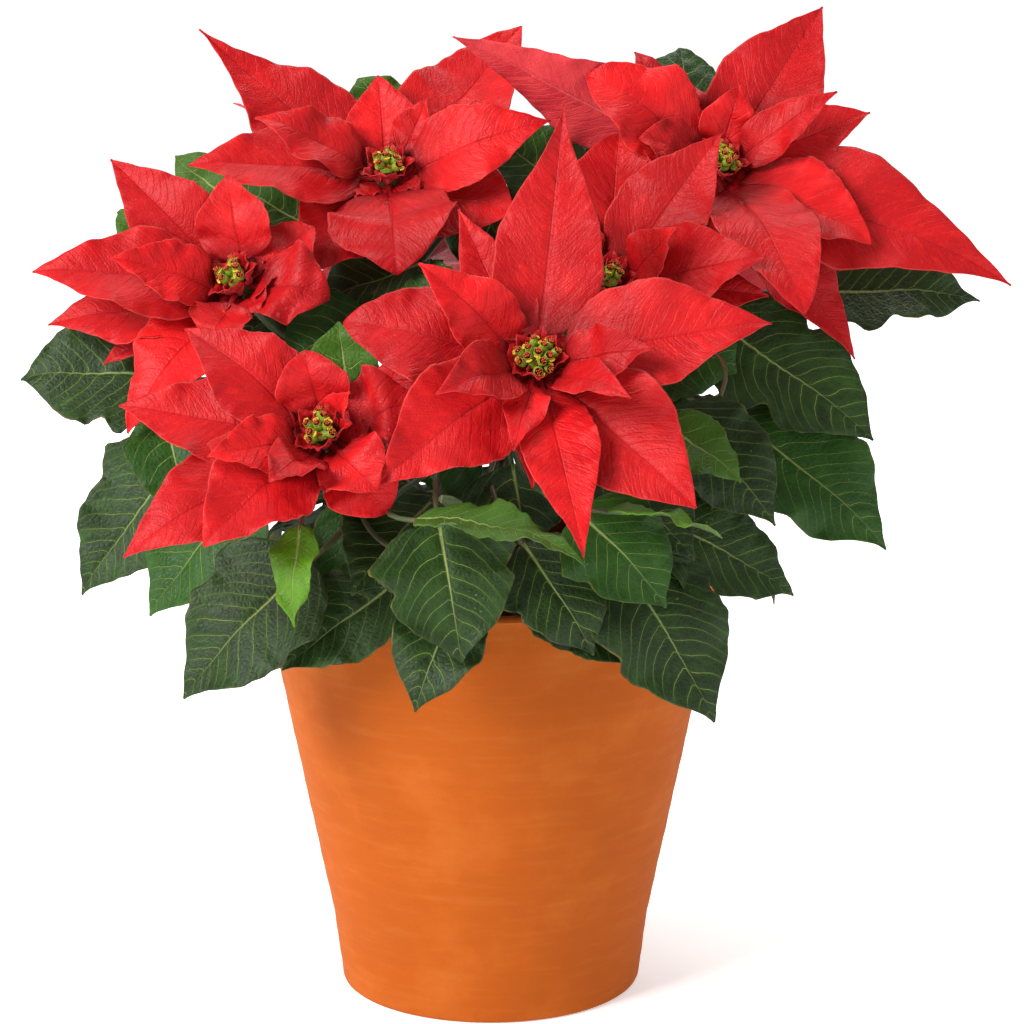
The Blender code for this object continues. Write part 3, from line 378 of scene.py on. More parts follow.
LEAVES = (
    leaf("front", 0.2, (-26, -40, 114), (-45, -92, 126), 38, bow=6),
    leaf("front", 0.3, (-34, -4, 130), (-23, -70, 134), 54, bow=8, lobe=0.12),
    leaf("front", 0.3, (5, -15, 120), (38, -66, 126), 42, bow=8, lobe=0.14),
    leaf("front", 0.1, (10, -34, 106), (56, -71, 112), 36, bow=6),
    leaf("front", 0.4, (-44, -4, 146), (34, -22, 152), 28, bow=8, roll=-35, wave=3.0),
    leaf("front", 0.6, (30, 0, 126), (72, -44, 128), 46, bow=8, lobe=0.12),
    leaf("front", 0.5, (44, 0, 138), (97, -11, 134), 18, bow=6, roll=-60),
    leaf("middle_right", 0.2, (48, -30, 104), (94, -97, 106), 56, bow=10, lobe=0.1),
    leaf("middle_right", 0.4, (62, -2, 90), (131, -38, 74), 46, bow=8, lobe=0.16),
    leaf("middle_right", 0.6, (74, 46, 76), (122, -6, 86), 42, bow=8),
    leaf("middle_right", 0.7, (70, 40, 96), (106, 14, 104), 26, bow=5),
    leaf("middle_right", 0.75, (96, 54, 66), (88, 36, 74), 11, bow=5, roll=60),
    leaf("upper_right", 0.3, (104, 42, 34), (173, -17, 34), 56, bow=10, wave=2.6),
    leaf("upper_right", 0.5, (95, 86, 24), (169, 34, 50), 60, bow=10, lobe=0.24, wave=2.6),
    leaf("upper_right", 0.7, (140, 100, 0), (216, 98, -8), 36, bow=10, lobe=0.2),
    leaf("upper_right", 0.8, (80, 178, -40), (84, 217, -46), 40, bow=4),
    leaf("upper_right", 0.7, (96, 180, -62), (110, 212, -70), 30, bow=3),
    leaf("lower_left", 0.2, (-92, -22, 88), (-152, -86, 82), 56, bow=10, lobe=0.12),
    leaf("lower_left", 0.1, (-50, -30, 98), (-107, -73, 94), 40, bow=6),
    leaf("lower_left", 0.5, (-97, -6, 128), (-101, -53, 140), 20, bow=5, roll=20),
    leaf("lower_left", 0.5, (-36, 6, 92), (-74, -38, 108), 50, bow=8, lobe=0.16),
    leaf("lower_left", 0.8, (-56, 12, 108), (-12, -14, 126), 38, bow=8),
    leaf("lower_left", 0.5, (-160, 46, 50), (-148, -4, 62), 38, bow=6),
    leaf("left", 0.3, (-146, 30, 36), (-199, -38, 32), 50, bow=8, lobe=0.1),
    leaf("left", 0.6, (-160, 62, 24), (-227, 62, 18), 54, bow=8, lobe=0.14),
    leaf("left", 0.5, (-165, 27, 12), (-187, 21, 8), 16, bow=3),
    leaf("left", 0.8, (-160, 124, -30), (-182, 139, -36), 28, bow=4),
    leaf("upper_left", 0.7, (-132, 146, -40), (-156, 164, -46), 24, bow=4, roll=-40),
    leaf("upper_left", 0.8, (-58, 180, -40), (-71, 200, -46), 28, bow=3),
    leaf("back_right", 0.8, (30, 146, -60), (36, 180, -54), 34, bow=6),
    leaf("upper_left", 0.3, (-34, 80, 44), (-38, 118, 30), 32, bow=5),
    leaf("upper_left", 0.4, (-76, 60, 62), (-80, 88, 66), 30, bow=5),
    leaf("lower_left", 0.35, (-118, 12, 62), (-168, -48, 58), 50, bow=8),
    leaf("middle_right", 0.35, (36, 20, 86), (84, -22, 92), 46, bow=8),
    leaf("front", 0.25, (0, 22, 92), (6, -38, 96), 46, bow=8),
    leaf("left", 0.2, (-66, 4, 70), (-76, -54, 84), 46, bow=8),
    leaf("middle_right", 0.5, (108, 70, 10), (150, 8, 18), 50, bow=8),
    leaf("left", 0.6, (-64, 86, 30), (-108, 68, 40), 44, bow=6),
    leaf("middle_right", 0.45, (-14, 66, 30), (-66, 92, 24), 46, bow=6),
    leaf("middle_right", 0.6, (22, 62, 50), (16, 112, 34), 44, bow=6),
    leaf("middle_right", 0.3, (-18, 40, 46), (-54, -4, 58), 50, bow=6, spread=1.35),
    leaf("left", 0.7, (-92, 102, 16), (-130, 76, 24), 44, bow=6),
    leaf("upper_left", 0.6, (-4, 150, -30), (-18, 104, -20), 44, bow=6),
    leaf("middle_right", 0.6, (62, 62, 60), (116, 40, 64), 44, bow=6),
    leaf("upper_right", 0.7, (88, 104, -14), (66, 142, -20), 38, bow=6),
    leaf("middle_right", 0.8, (36, 138, -34), (-16, 174, -40), 42, bow=5),
    leaf("left", 0.8, (-88, 128, -16), (-134, 152, -24), 38, bow=5),
    leaf("middle_right", 0.6, (66, 80, 36), (104, 44, 42), 46, bow=6, spread=1.4),
    leaf("upper_right", 0.8, (114, 124, -20), (166, 98, -14), 40, bow=5),
    leaf("lower_left", 0.7, (-54, 42, 84), (-106, 24, 90), 46, bow=5),
    leaf("left", 0.8, (-40, 114, 4), (-92, 94, 8), 46, bow=5),
)

# Leaves by rule round the sides and back: bearing from the viewer's right, and where the tips hang
SIDE_LEAF_BEARINGS = tuple(range(14, 160, 18))
LOW_LEAF = (98.0, 168.0, 216.0, 166.0)
HIGH_LEAF = (86.0, 176.0, 272.0, 236.0)
SIDE_LEAF_DRAW_IN = 30.0
SIDE_LEAF_WIDTH = 56.0

# Leaves by rule that lie low over the soil
INNER_LEAF_BEARINGS = tuple(range(10, 190, 56))
INNER_LEAF = (34.0, 104.0, 226.0, 214.0)
INNER_LEAF_WIDTH = 50.0

# Leaves by rule high up round the stems, under the blooms
CROWN_LEAF_BEARINGS = (-20, 22, 92, 158, 202)
CROWN_LEAF = (58.0, 122.0, 300.0, 276.0)
CROWN_LEAF_WIDTH = 52.0

# Where each plant comes out of the soil, and where it forks
PLANTS = {
    "left": (Vector((-36.0, -6.0, SOIL_TOP)), Vector((-46.0, -12.0, 240.0))),
    "middle": (Vector((4.0, -26.0, SOIL_TOP)), Vector((4.0, -22.0, 236.0))),
    "right": (Vector((40.0, 10.0, SOIL_TOP)), Vector((52.0, 12.0, 244.0))),
}


def squared_off(vector, line):
    """The part of a vector that stands square to a line, at unit length."""
    direction = line.normalized()
    return (vector - direction * vector.dot(direction)).normalized()


def cubic(a, b, c, d, s):
    r = 1 - s
    return a * r ** 3 + b * (3 * s * r ** 2) + c * (3 * s ** 2 * r) + d * s ** 3


def trial_bends(blade):
    """The blade as drawn, then bent and swung a little further at each try."""
    yield blade
    for step in (4, 8, 13, 19, 26):
        for way in (TOWARD, -TOWARD):
            for arch in (0, 5, -5):
                yield replace(blade, tip=blade.tip + way * step, bow=blade.bow + arch)
    for step in (6, 12, 20, 30):
        for way in (UPWARD, -UPWARD, ACROSS, -ACROSS):
            for depth in (0, 14, -14):
                yield replace(blade, tip=blade.tip + way * step + TOWARD * depth)
    if blade.leaf:
        for step in (8, 16, 26):
            for way in (TOWARD, -TOWARD, UPWARD, -UPWARD, ACROSS, -ACROSS):
                moved = replace(blade, base=blade.base + way * step)
                yield moved
                yield replace(moved, tip=blade.tip + way * step)


def seat_on_core(place, direction, level):
    """Sunk root and neck end of a bract that leaves its bloom's core in a direction."""
    radial = squared_off(direction, place.axis)
    start = place.centre + place.axis * level + radial * ROOT_OFFSET
    lead = radial * NECK_RADIAL_SHARE + direction.normalized() * NECK_AIM_SHARE
    base = start + lead * BRACT_NECK_LENGTH
    return start, base


def around(place, turn):
    """The way out from a bloom's axis at a turn about it."""
    sideways = squared_off(ACROSS, place.axis)
    return sideways * math.cos(turn) + place.axis.cross(sideways) * math.sin(turn)


def seen_bracts(place):
    """Bracts of a bloom on the near side, one for each of its rows."""
    for number, row in enumerate(BRACTS.get(place.name, ())):
        reach = view_vector(*row["tip"])
        start, base = seat_on_core(place, reach, row["level"])
        form = {key: value for key, value in row.items() if key not in ("tip", "level")}
        yield Blade(start, base, place.centre + reach, place.axis + TOWARD * BRACT_TO_VIEWER,
                    phase=number * BLADE_PHASE, **form)


def back_bracts(place):
    """Bracts of a bloom on the far side, by a golden-angle rule from long to short."""
    for number in range(BACK_BRACT_COUNT):
        inner = number / (BACK_BRACT_COUNT - 1)
        length = BACK_BRACT_LONG + (BACK_BRACT_SHORT - BACK_BRACT_LONG) * inner ** 1.4
        lift = math.radians(4 + 34 * inner)
        radial = around(place, number * GOLDEN_TURN)
        reach = (radial * math.cos(lift) + place.axis * math.sin(lift)) * length
        start, base = seat_on_core(place, reach, -9 + 8 * inner)
        yield Blade(start, base, place.centre + reach, place.axis, length * 0.4, bow=length * 0.08,
                    phase=number * BLADE_PHASE, wave=2.0)


def branch_ends(place):
    """The curve of a bloom's branch, from its plant's fork to just under the core."""
    fork = PLANTS[place.plant][1]
    end = place.centre - place.axis * (CORE_BELOW + GAP)
    length = (end - fork).length
    return fork, fork + SKY * (0.35 * length), end - place.axis * (0.35 * length), end


def branch_point(place, s):
    return cubic(*branch_ends(place), s)


def hanging_face(tip, outward_share):
    """Upper face of a leaf: it looks up and away from the pot's axis."""
    outward = Vector((tip.x, tip.y, 0.0)).normalized()
    return SKY + outward * outward_share


def seen_leaves():
    """The leaves that show from the front, each with its plant."""
    for number, row in enumerate(LEAVES):
        place = next(item for item in BLOOMS if item.name == row["plant"])
        base, tip = seen_at(*row["base"]), seen_at(*row["tip"])
        face = hanging_face(tip, 0.3) + TOWARD * LEAF_TO_VIEWER
        form = {key: value for key, value in row.items() if key not in ("plant", "reach", "base", "tip")}
        yield place.plant, Blade(branch_point(place, row["reach"]), base, tip, face, phase=number * 2.1,
                                 taper=0.95, leaf=True, **form)


def nearest_branch(point, s):
    return min(BLOOMS, key=lambda place: (branch_point(place, s) - point).length)


def side_leaves():
    """Two hanging layers of leaves round the sides and back, at even bearings."""
    for number, bearing in enumerate(SIDE_LEAF_BEARINGS):
        for layer, (near, far, base_height, tip_height) in enumerate((LOW_LEAF, HIGH_LEAF)):
            turn = math.radians(bearing + 9 * layer)
            reach = far + 8 * math.sin(1.9 * number + 2 * layer)
            reach -= SIDE_LEAF_DRAW_IN * math.cos(turn) ** 2
            base = at_bearing(near, turn, base_height)
            drop = 6 * math.cos(2.7 * number)
            tip = at_bearing(reach, turn + 0.16 * math.sin(2.4 * number + layer), tip_height + drop)
            s = (0.12, 0.55)[layer]
            place = nearest_branch(base, s)
            yield place.plant, Blade(branch_point(place, s), base, tip, hanging_face(tip, 1.2),
                                     SIDE_LEAF_WIDTH + 5 * math.sin(3.1 * number), bow=9, fold=0.0, wave=2.2,
                                     phase=number * 1.3, lobe=0.14 * (number % 2), leaf=True, far=True)


def ring_leaves(bearings, sizes, width, s, outward_share, spread=1.0):
    """A ring of leaves that leave the branches at s and look up and outward."""
    near, far, base_height, tip_height = sizes
    for number, bearing in enumerate(bearings):
        turn = math.radians(bearing)
        base, tip = at_bearing(near, turn, base_height), at_bearing(far, turn, tip_height)
        place = nearest_branch(base, s)
        yield place.plant, Blade(branch_point(place, s), base, tip, hanging_face(tip, outward_share), width,
                                 fold=0.0, wave=2.4, phase=number * 1.1, taper=0.95, leaf=True, far=True,
                                 spread=spread)


def inner_leaves():
    """Leaves that lie out over the soil behind the stems."""
    return ring_leaves(INNER_LEAF_BEARINGS, INNER_LEAF, INNER_LEAF_WIDTH, 0.05, 0.0, 1.4)


def crown_leaves():
    """Leaves that stand out from the stems between the blooms."""
    return ring_leaves(CROWN_LEAF_BEARINGS, CROWN_LEAF, CROWN_LEAF_WIDTH, 0.5, 0.9)


def drawn_blades():
    """Every blade as drawn, with the node that it belongs to."""
    for place in BLOOMS:
        rule = seen_bracts if place.name in BRACTS else back_bracts
        for blade in rule(place):
            yield "bloom_" + place.name, blade
    for rule in (seen_leaves, side_leaves, inner_leaves, crown_leaves):
        for plant, blade in rule():
            yield "plant_" + plant, blade


def unit(vectors):
    return vectors / np.linalg.norm(vectors, axis=-1, keepdims=True)


def squared_rows(vector, lines):
    """One vector squared off against each of many lines."""
    directions = unit(lines)
    along = directions @ np.asarray(vector)
    return unit(np.asarray(vector) - directions * along[:, None])


def curve(start, middle, end, s):
    """Points and headings of a quadratic curve at each s."""
    s = np.asarray(s, float)[:, None]
    start, middle, end = (np.asarray(point) for point in (start, middle, end))
    points = start * (1 - s) ** 2 + middle * (2 * s * (1 - s)) + end * s ** 2
    headings = (middle - start) * (2 * (1 - s)) + (end - middle) * (2 * s)
    return points, unit(headings)


def swell(u, place):
    return np.exp(-((u - place) / LOBE_SPREAD) ** 2)


def outline(blade, u, side):
    """Half width of the sheet at each u along it; side is -1 or 1 at each column."""
    widest = 0.5 / (0.5 + blade.taper)
    shape = (u / widest) ** 0.5 * ((1 - u) / (1 - widest)) ** blade.taper
    if blade.leaf:
        shape = shape * (1 + blade.lobe * swell(u, LOBE_AT + LOBE_STAGGER * side))
        shape = shape * (1 - NOTCH_DEPTH * blade.lobe * swell(u, NOTCH_AT + LOBE_STAGGER * side))
    neck = LEAF_NECK_WIDTH if blade.leaf else BRACT_NECK_WIDTH
    narrowest = neck + (TIP_WIDTH - neck) * u
    return np.maximum(narrowest, blade.width * shape) / 2


def spine(blade, u):
    """Centre line, side and face directions of the sheet at each u."""
    face = squared_off(blade.face, blade.tip - blade.base)
    turn = (blade.tip - blade.base).normalized().cross(face)
    roll = math.radians(blade.roll)
    face = face * math.cos(roll) + turn * math.sin(roll)
    middle = (blade.base + blade.tip) / 2 + face * blade.bow
    centres, headings = curve(blade.base, middle, blade.tip, u)
    normals = squared_rows(face, headings)
    return centres, np.cross(headings, normals), normals


def neck_curve(blade, steps):
    """Points and headings of the neck or stalk that leads into a blade's sheet, and its last heading."""
    face = squared_off(blade.face, blade.tip - blade.base)
    middle = (blade.base + blade.tip) / 2 + face * blade.bow
    lead = (middle - blade.base).normalized()
    bend = blade.base - lead * ((blade.base - blade.start).length * STALK_BEND)
    return (*curve(blade.start, bend, blade.base, steps), lead)


def ripple_height(blade, u, across):
    """The slow waves that the solid has too, highest at the rims."""
    ripple = np.sin(2 * math.pi * RIPPLES * u + blade.phase + 1.3 * across)
    return blade.wave * ripple * across ** 2 * np.sin(math.pi * u)


def sheet_points(blade, u, across, half, height):
    """Points of a sheet from its half widths and heights, and its face directions at each u."""
    centres, sides, normals = spine(blade, u)
    points = centres[:, None] + sides[:, None] * (half * across)[..., None]
    return points + normals[:, None] * height[..., None], normals


def sheet_thickness(u, sheet):
    """How thick a blade is at each u: it thins from its neck to its sheet."""
    return NECK_THICKNESS + (sheet - NECK_THICKNESS) * np.minimum(1.0, u / NECK_THINS_BY)


def solid_marks(blade):
    """Corners of the solid blade's two faces, past its crowded root."""
    if blade.far:
        stations, columns = FAR_LEAF_STATIONS[2:], np.array([-1.0, 1.0])
    else:
        rows = next(rows for width, rows in STATIONS_BY_WIDTH if blade.width < width)
        stations, columns = rows[2:], np.array([-1.0, 0.0, 1.0])
    u = np.array(stations)
    across = columns[None, :]
    half = outline(blade, u[:, None], np.where(across > 0, 1, -1))
    height = blade.fold * half * abs(across) + ripple_height(blade, u[:, None], across)
    points, normals = sheet_points(blade, u, across, half, height)
    lift = normals[:, None] * sheet_thickness(u, SHEET_THICKNESS)[:, None, None] / 2
    tip_column = len(columns) // 2
    return [mark for face in (points + lift, points - lift)
            for mark in [*face[:-1].reshape(-1, 3), face[-1, tip_column]]]


def share_on(surface, blade):
    """How much of a blade as drawn lies on a solid's surface."""
    marks = solid_marks(blade)
    on = sum(surface.find_nearest(mark * MM, MARK_TOLERANCE * MM)[0] is not None for mark in marks)
    return on / len(marks)


def as_bent(surface, blade):
    """The bend of a drawn blade that the solid was built with."""
    best = (0.0, blade)
    for trial in trial_bends(blade):
        fit = share_on(surface, trial)
        if fit > best[0]:
            best = (fit, trial)
        if fit == 1.0:
            break
    if best[0] < LEAST_SHARE_OF_MARKS:
        raise RuntimeError(f"no bend of a blade fits its solid; the best fits {best[0]:.2f} of its marks")
    return best[1]


def placed_blades():
    """The blades of each solid, as it has them."""
    placed = {}
    surfaces = {}
    for node, blade in drawn_blades():
        if node not in surfaces:
            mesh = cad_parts[node].data
            surfaces[node] = BVHTree.FromPolygons([vertex.co for vertex in mesh.vertices],
                                                  [face.vertices for face in mesh.polygons])
            placed[node] = []
        placed[node].append(as_bent(surfaces[node], blade))
    return placed


def blade_stations(count):
    """Places along a sheet, a little closer together toward the tip."""
    even = np.linspace(0.0, 1.0, count)
    return even + 0.035 * np.sin(math.pi * even)


def blade_columns(count):
    """Places across a sheet from rim to rim, closest at the midrib, with one just inside the rim."""
    side = np.append(RIM_AT * np.linspace(0.0, 1.0, count) ** 1.25, 1.0)
    return np.append(-side[:0:-1], side)


def vein_phase(blade, u, across, half, length):
    """Which side vein a place lies at: whole numbers are veins, swept toward the tip."""
    spacing = LEAF_VEIN_SPACING if blade.leaf else BRACT_VEIN_SPACING
    reach = half * abs(across)
    swept = u * length - reach * (0.5 + 0.5 * abs(across))
    wander = 1.5 * np.sin(0.13 * swept + blade.phase) + 0.8 * np.sin(0.31 * reach + 2 * blade.phase)
    alternate = 0.25 * np.tanh(half * across / 0.9)
    return (swept + wander) / spacing + alternate


def margin(blade, u, side, draw):
    """How the cut of the edge swings in and out, as a share of the half width."""
    a, b = draw[0] * 6.28, draw[1] * 6.28
    if not blade.leaf:
        fuller = 0.12 * np.exp(-((u - 0.5) / 0.22) ** 2)
        uneven = 0.024 * np.sin(13 * u + a + 2 * side) + 0.014 * np.sin(29 * u + b - side)
        return 1 + fuller + uneven + 0.006 * np.sin(83 * u + a - b + side)
    teeth = abs(np.sin(9.5 * u + a + 0.8 * side)) ** 3
    drawn_out = 0.42 * np.clip((u - 0.74) / 0.2, 0.0, 1.0) ** 1.2
    return (1.06 + 0.055 * teeth + 0.012 * np.sin(60 * u + b + side)) * (1 - drawn_out) * blade.spread


def blade_relief(blade, u, across, half, phase, draw, settings):
    """Height of the sheet over its spine: fold, waves, frilled edge, puffed panels, sunk midrib."""
    bent = 0.55 * (np.sqrt(across ** 2 + 0.0016) - 0.04) + 0.45 * across ** 2
    fold = blade.fold * half * bent
    middle = np.sin(math.pi * u)
    start = 6.28 * draw
    twist = TWIST * (2 * draw[2] - 1) * half * across * middle
    sway = np.sin(2 * math.pi * (0.8 + draw[3]) * u + start[4] + across) * across ** 2 * middle
    buckle = np.sin(2 * math.pi * (1.1 + 0.9 * draw[1]) * u + start[2] + 1.6 * across) * middle
    swing = 2 * math.pi * (3.4 + 1.8 * draw[2]) * u + start[3]
    frill = np.sin(swing + 1.4 * np.sign(across)) + 0.6 * np.sin(2.3 * swing + 2 * np.sign(across))
    frill = frill * abs(across) ** 3 * middle ** 0.5 * (LEAF_FRILL if blade.leaf else 1.0)
    panel = np.floor(phase) + 31 * np.sign(across)
    fullness = 0.3 + 1.2 * (0.5 + 0.5 * np.sin(12.9 * panel + start[0])) ** 2
    panels = (0.5 - 0.5 * np.cos(2 * math.pi * phase)) * fullness * (1 - across ** 4)
    panels = panels * np.minimum(1.0, half / FULL_PANEL_REACH)
    crumpled = 1.0 if blade.leaf else 0.6 + 0.5 * (blade.wave - 1.0)
    rib = np.exp(-(half * across / RIB_WIDTH) ** 2) * (1 - 0.75 * u) * np.minimum(1.0, u / 0.06)
    curl = -(np.maximum(0.0, u - CURL_FROM) / (1 - CURL_FROM)) ** 2 * (1.0 + 1.6 * draw[4])
    waves = SWAY * sway + BUCKLE * buckle + curl + (
        settings.frill * frill + settings.puff * crumpled * panels - settings.midrib * rib) / MM
    return fold + twist + ripple_height(blade, u, across) + min(1.0, blade.width / SMALL_WIDTH) * waves


def blade_rings(blade, draw, settings):
    """Rings of points round a blade, with what its skin reads at each of them."""
    length = (blade.tip - blade.base).length
    rows = int(min(MOST_ROWS, max(FEWEST_ROWS, length / ROW_STEP)))
    columns = int(min(MOST_COLUMNS, max(FEWEST_COLUMNS, blade.width / 2 / COLUMN_STEP)))
    across = blade_columns(columns)[None, :]
    u = blade_stations(rows)[:, None]
    side = np.where(across > 0, 1, -1)
    half = outline(blade, u, side) * margin(blade, u, side, draw)
    half = np.maximum(half, TIP_WIDTH / 2)
    phase = vein_phase(blade, u, across, half, length)
    height = blade_relief(blade, u, across, half, phase, draw, settings)
    points, normals = sheet_points(blade, u[:, 0], across, half, height)
    round_edge = np.sqrt(np.maximum(0.0, 1 - across ** 2))
    flat_edge = (abs(across) < 1.0).astype(float)
    edge = round_edge + (flat_edge - round_edge) * np.minimum(1.0, u / FLAT_FROM)
    thick = sheet_thickness(u, settings.thickness / MM) / 2 * edge
    reads = {"along": u + 0 * across, "across": across + 0 * u, "vein": phase,
             "reach": half * across, "run": u * length + 0 * across}
    if not blade.leaf:
        points, normals, thick, reads = with_neck(blade, points, normals, thick, reads, across)
    return points, normals, thick, reads


def with_neck(blade, points, normals, thick, reads, across):
    """The rows of a bract's neck, from its root in the core, laid before those of its sheet."""
    steps = np.arange(NECK_ROWS) / NECK_ROWS
    centres, headings, _ = neck_curve(blade, steps)
    neck_normals = squared_rows(blade.face, headings)
    sides = np.cross(headings, neck_normals)
    neck = centres[:, None] + sides[:, None] * (BRACT_NECK_WIDTH / 2 * across)[..., None]
    edge = np.sqrt(np.maximum(0.0, 1 - across ** 2)) + 0 * steps[:, None]
    for name, values in reads.items():
        reads[name] = np.concatenate([np.repeat(values[:1], NECK_ROWS, axis=0), values])
    return (np.concatenate([neck, points]), np.concatenate([neck_normals, normals]),
            np.concatenate([NECK_THICKNESS / 2 * edge, thick]), reads)


def ring_faces(rows, ring, first):
    """Quads between rings and the two fans that close them; the poles come last."""
    at = np.arange(ring)
    after = (at + 1) % ring
    base = first + ring * np.arange(rows - 1)[:, None]
    quads = np.stack([base + at, base + after, base + ring + after, base + ring + at], axis=-1)
    root, tip = first + rows * ring, first + rows * ring + 1
    last = first + (rows - 1) * ring
    fans = [(first + b, first + a, root) for a, b in zip(at, after)]
    fans += [(last + a, last + b, tip) for a, b in zip(at, after)]
    return quads.reshape(-1, 4).tolist() + [[int(i) for i in fan] for fan in fans]


def marked(mesh, name, values):
    """The mesh with a number kept at each of its points."""
    mesh.attributes.new(name, "FLOAT", "POINT").data.foreach_set("value", values)
    return mesh


def mesh_in_mm(name, points, faces=(), edges=()):
    """A mesh from points in millimetres."""
    mesh = bpy.data.meshes.new(name)
    mesh.from_pydata([Vector(point) * MM for point in points], edges, faces)
    return mesh


def from_work(work, name, *finishes, smooth=True):
    """The mesh of a finished bmesh, with its finishes."""
    mesh = bpy.data.meshes.new(name)
    work.to_mesh(mesh)
    work.free()
    if smooth:
        mesh.shade_smooth()
    for finish in finishes:
        mesh.materials.append(finish)
    return mesh


def blade_mesh(name, blades, settings, tones, finish):
    """One closed mesh for a group of blades, each with the marks that its skin reads."""
    points, faces, flats = [], [], []
    reads = {key: [] for key in BLADE_READS}
    count = 0
    for number, (blade, (tone, young)) in enumerate(zip(blades, tones)):
        draw = np.random.default_rng([FIXED_SEED, number, len(name)]).random(6)
        grid, normals, thick, marks = blade_rings(blade, draw, settings)
        lift = normals[:, None] * thick[..., None]
        rings = np.concatenate([grid + lift, (grid - lift)[:, -2:0:-1]], axis=1)
        rows, ring = rings.shape[:2]
        middle = grid.shape[1] // 2
        points.append(np.concatenate([rings.reshape(-1, 3), grid[[0, -1], middle]]))
        faces += ring_faces(rows, ring, count)
        count += rows * ring + 2
        level = 0 * marks["along"]
        marks.update(under=level, tone=level + tone, young=level + young)
        for key, values in marks.items():
            below = values[:, -2:0:-1] + float(key == "under")
            both = np.concatenate([values, below], axis=1).reshape(-1)
            marks[key] = np.concatenate([both, values[[0, -1], middle]])
        flats.append(np.stack([marks.pop("reach"), marks.pop("run")], axis=-1))
        for key, values in marks.items():
            reads[key].append(values)
    mesh = bpy.data.meshes.new(name)
    mesh.from_pydata(np.concatenate(points) * MM, [], faces)
    for key, values in reads.items():
        marked(mesh, key, np.concatenate(values).astype(np.float32))
    corners = np.empty(len(mesh.loops), np.int32)
    mesh.loops.foreach_get("vertex_index", corners)
    flat = (np.concatenate(flats)[corners] * MM).astype(np.float32)
    mesh.uv_layers.new(name="flat").data.foreach_set("uv", flat.ravel())
    mesh.shade_smooth()
    mesh.materials.append(finish)
    return mesh


def socket(item, side, key):
    """A node's socket by number, or the live one of that name."""
    sockets = getattr(item, side)
    if isinstance(key, int):
        return sockets[key]
    return next(one for one in sockets if one.enabled and one.name == key)


def feed(item, feeds):
    """Set a node's sockets to plain values, or link them to other nodes' sockets."""
    for key, value in feeds.items():
        if isinstance(value, bpy.types.NodeSocket):
            item.id_data.links.new(value, socket(item, "inputs", key))
        else:
            socket(item, "inputs", key).default_value = value


def add_node(tree, kind, feeds=None, give=None, **settings):
    """Add a node with its settings, feed its sockets, and give back one of its outputs."""
    item = tree.nodes.new(kind)
    for key, value in settings.items():
        setattr(item, key, value)
    feed(item, feeds or {})
    if give is not None:
        return socket(item, "outputs", give)
    live = [one for one in item.outputs if one.enabled]
    return live[0] if live else item


def new_tree(name, inputs):
    """A geometry tree with named inputs; gives what adds its nodes, its inputs and their identifiers."""
    tree = bpy.data.node_groups.new(name, "GeometryNodeTree")
    identifiers = {}
    for title, kind in {"Geometry": "NodeSocketGeometry", **inputs}.items():
        identifiers[title] = tree.interface.new_socket(title, in_out="INPUT", socket_type=kind).identifier
    tree.interface.new_socket("Geometry", in_out="OUTPUT", socket_type="NodeSocketGeometry")
    entry = tree.nodes.new("NodeGroupInput")
    return partial(add_node, tree), {one.name: one for one in entry.outputs if one.name}, identifiers


def end_tree(add, geometry, finish):
    """Make what grew real, give it its finish, and give back the tree."""
    real = add("GeometryNodeRealizeInstances", {"Geometry": geometry})
    painted = add("GeometryNodeSetMaterial", {"Geometry": real, "Material": finish})
    return add("NodeGroupOutput", {0: painted}).id_data


GRAIN_INPUTS = {"Template": "NodeSocketObject", "Smallest": "NodeSocketFloat",
                "Largest": "NodeSocketFloat", "Seed": "NodeSocketInt", "Finish": "NodeSocketMaterial"}


def set_grains(add, points, facing, entry):
    """Copies of the template on points, turned to a facing, each of its own size and spin."""
    seed = {"Seed": entry["Seed"]}
    template = add("GeometryNodeObjectInfo", {"Object": entry["Template"]}, "Geometry")
    upright = add("FunctionNodeAlignRotationToVector", {"Vector": facing}, axis="Z")
    spin = add("FunctionNodeRandomValue", {"Min": 0.0, "Max": 6.283, **seed}, data_type="FLOAT")
    about = add("FunctionNodeAxisAngleToRotation", {"Axis": (0, 0, 1), "Angle": spin})
    placed = add("FunctionNodeRotateRotation", {"Rotation": upright, "Rotate By": about},
                 rotation_space="LOCAL")
    size = add("FunctionNodeRandomValue", {"Min": entry["Smallest"], "Max": entry["Largest"], **seed},
               data_type="FLOAT")
    return add("GeometryNodeInstanceOnPoints", {"Points": points, "Instance": template,
                                                "Rotation": placed, "Scale": size})


def cluster_tree():
    """Sets a template on each point of a mesh, along the point's own lean."""
    add, entry, identifiers = new_tree("set_on_points", GRAIN_INPUTS)
    lean = add("GeometryNodeInputNamedAttribute", {"Name": "lean"}, data_type="FLOAT_VECTOR")
    grains = set_grains(add, entry["Geometry"], lean, entry)
    return end_tree(add, grains, entry["Finish"]), identifiers


def scatter_tree():
    """Scatters a template over a surface, a number of them for each square metre."""
    add, entry, identifiers = new_tree("scatter_on_surface", {"Density": "NodeSocketFloat", **GRAIN_INPUTS})
    points = add("GeometryNodeDistributePointsOnFaces", {
        "Mesh": entry["Geometry"], "Density": entry["Density"], "Seed": entry["Seed"]}, "Points")
    grains = set_grains(add, points, socket(points.node, "outputs", "Normal"), entry)
    return end_tree(add, grains, entry["Finish"]), identifiers


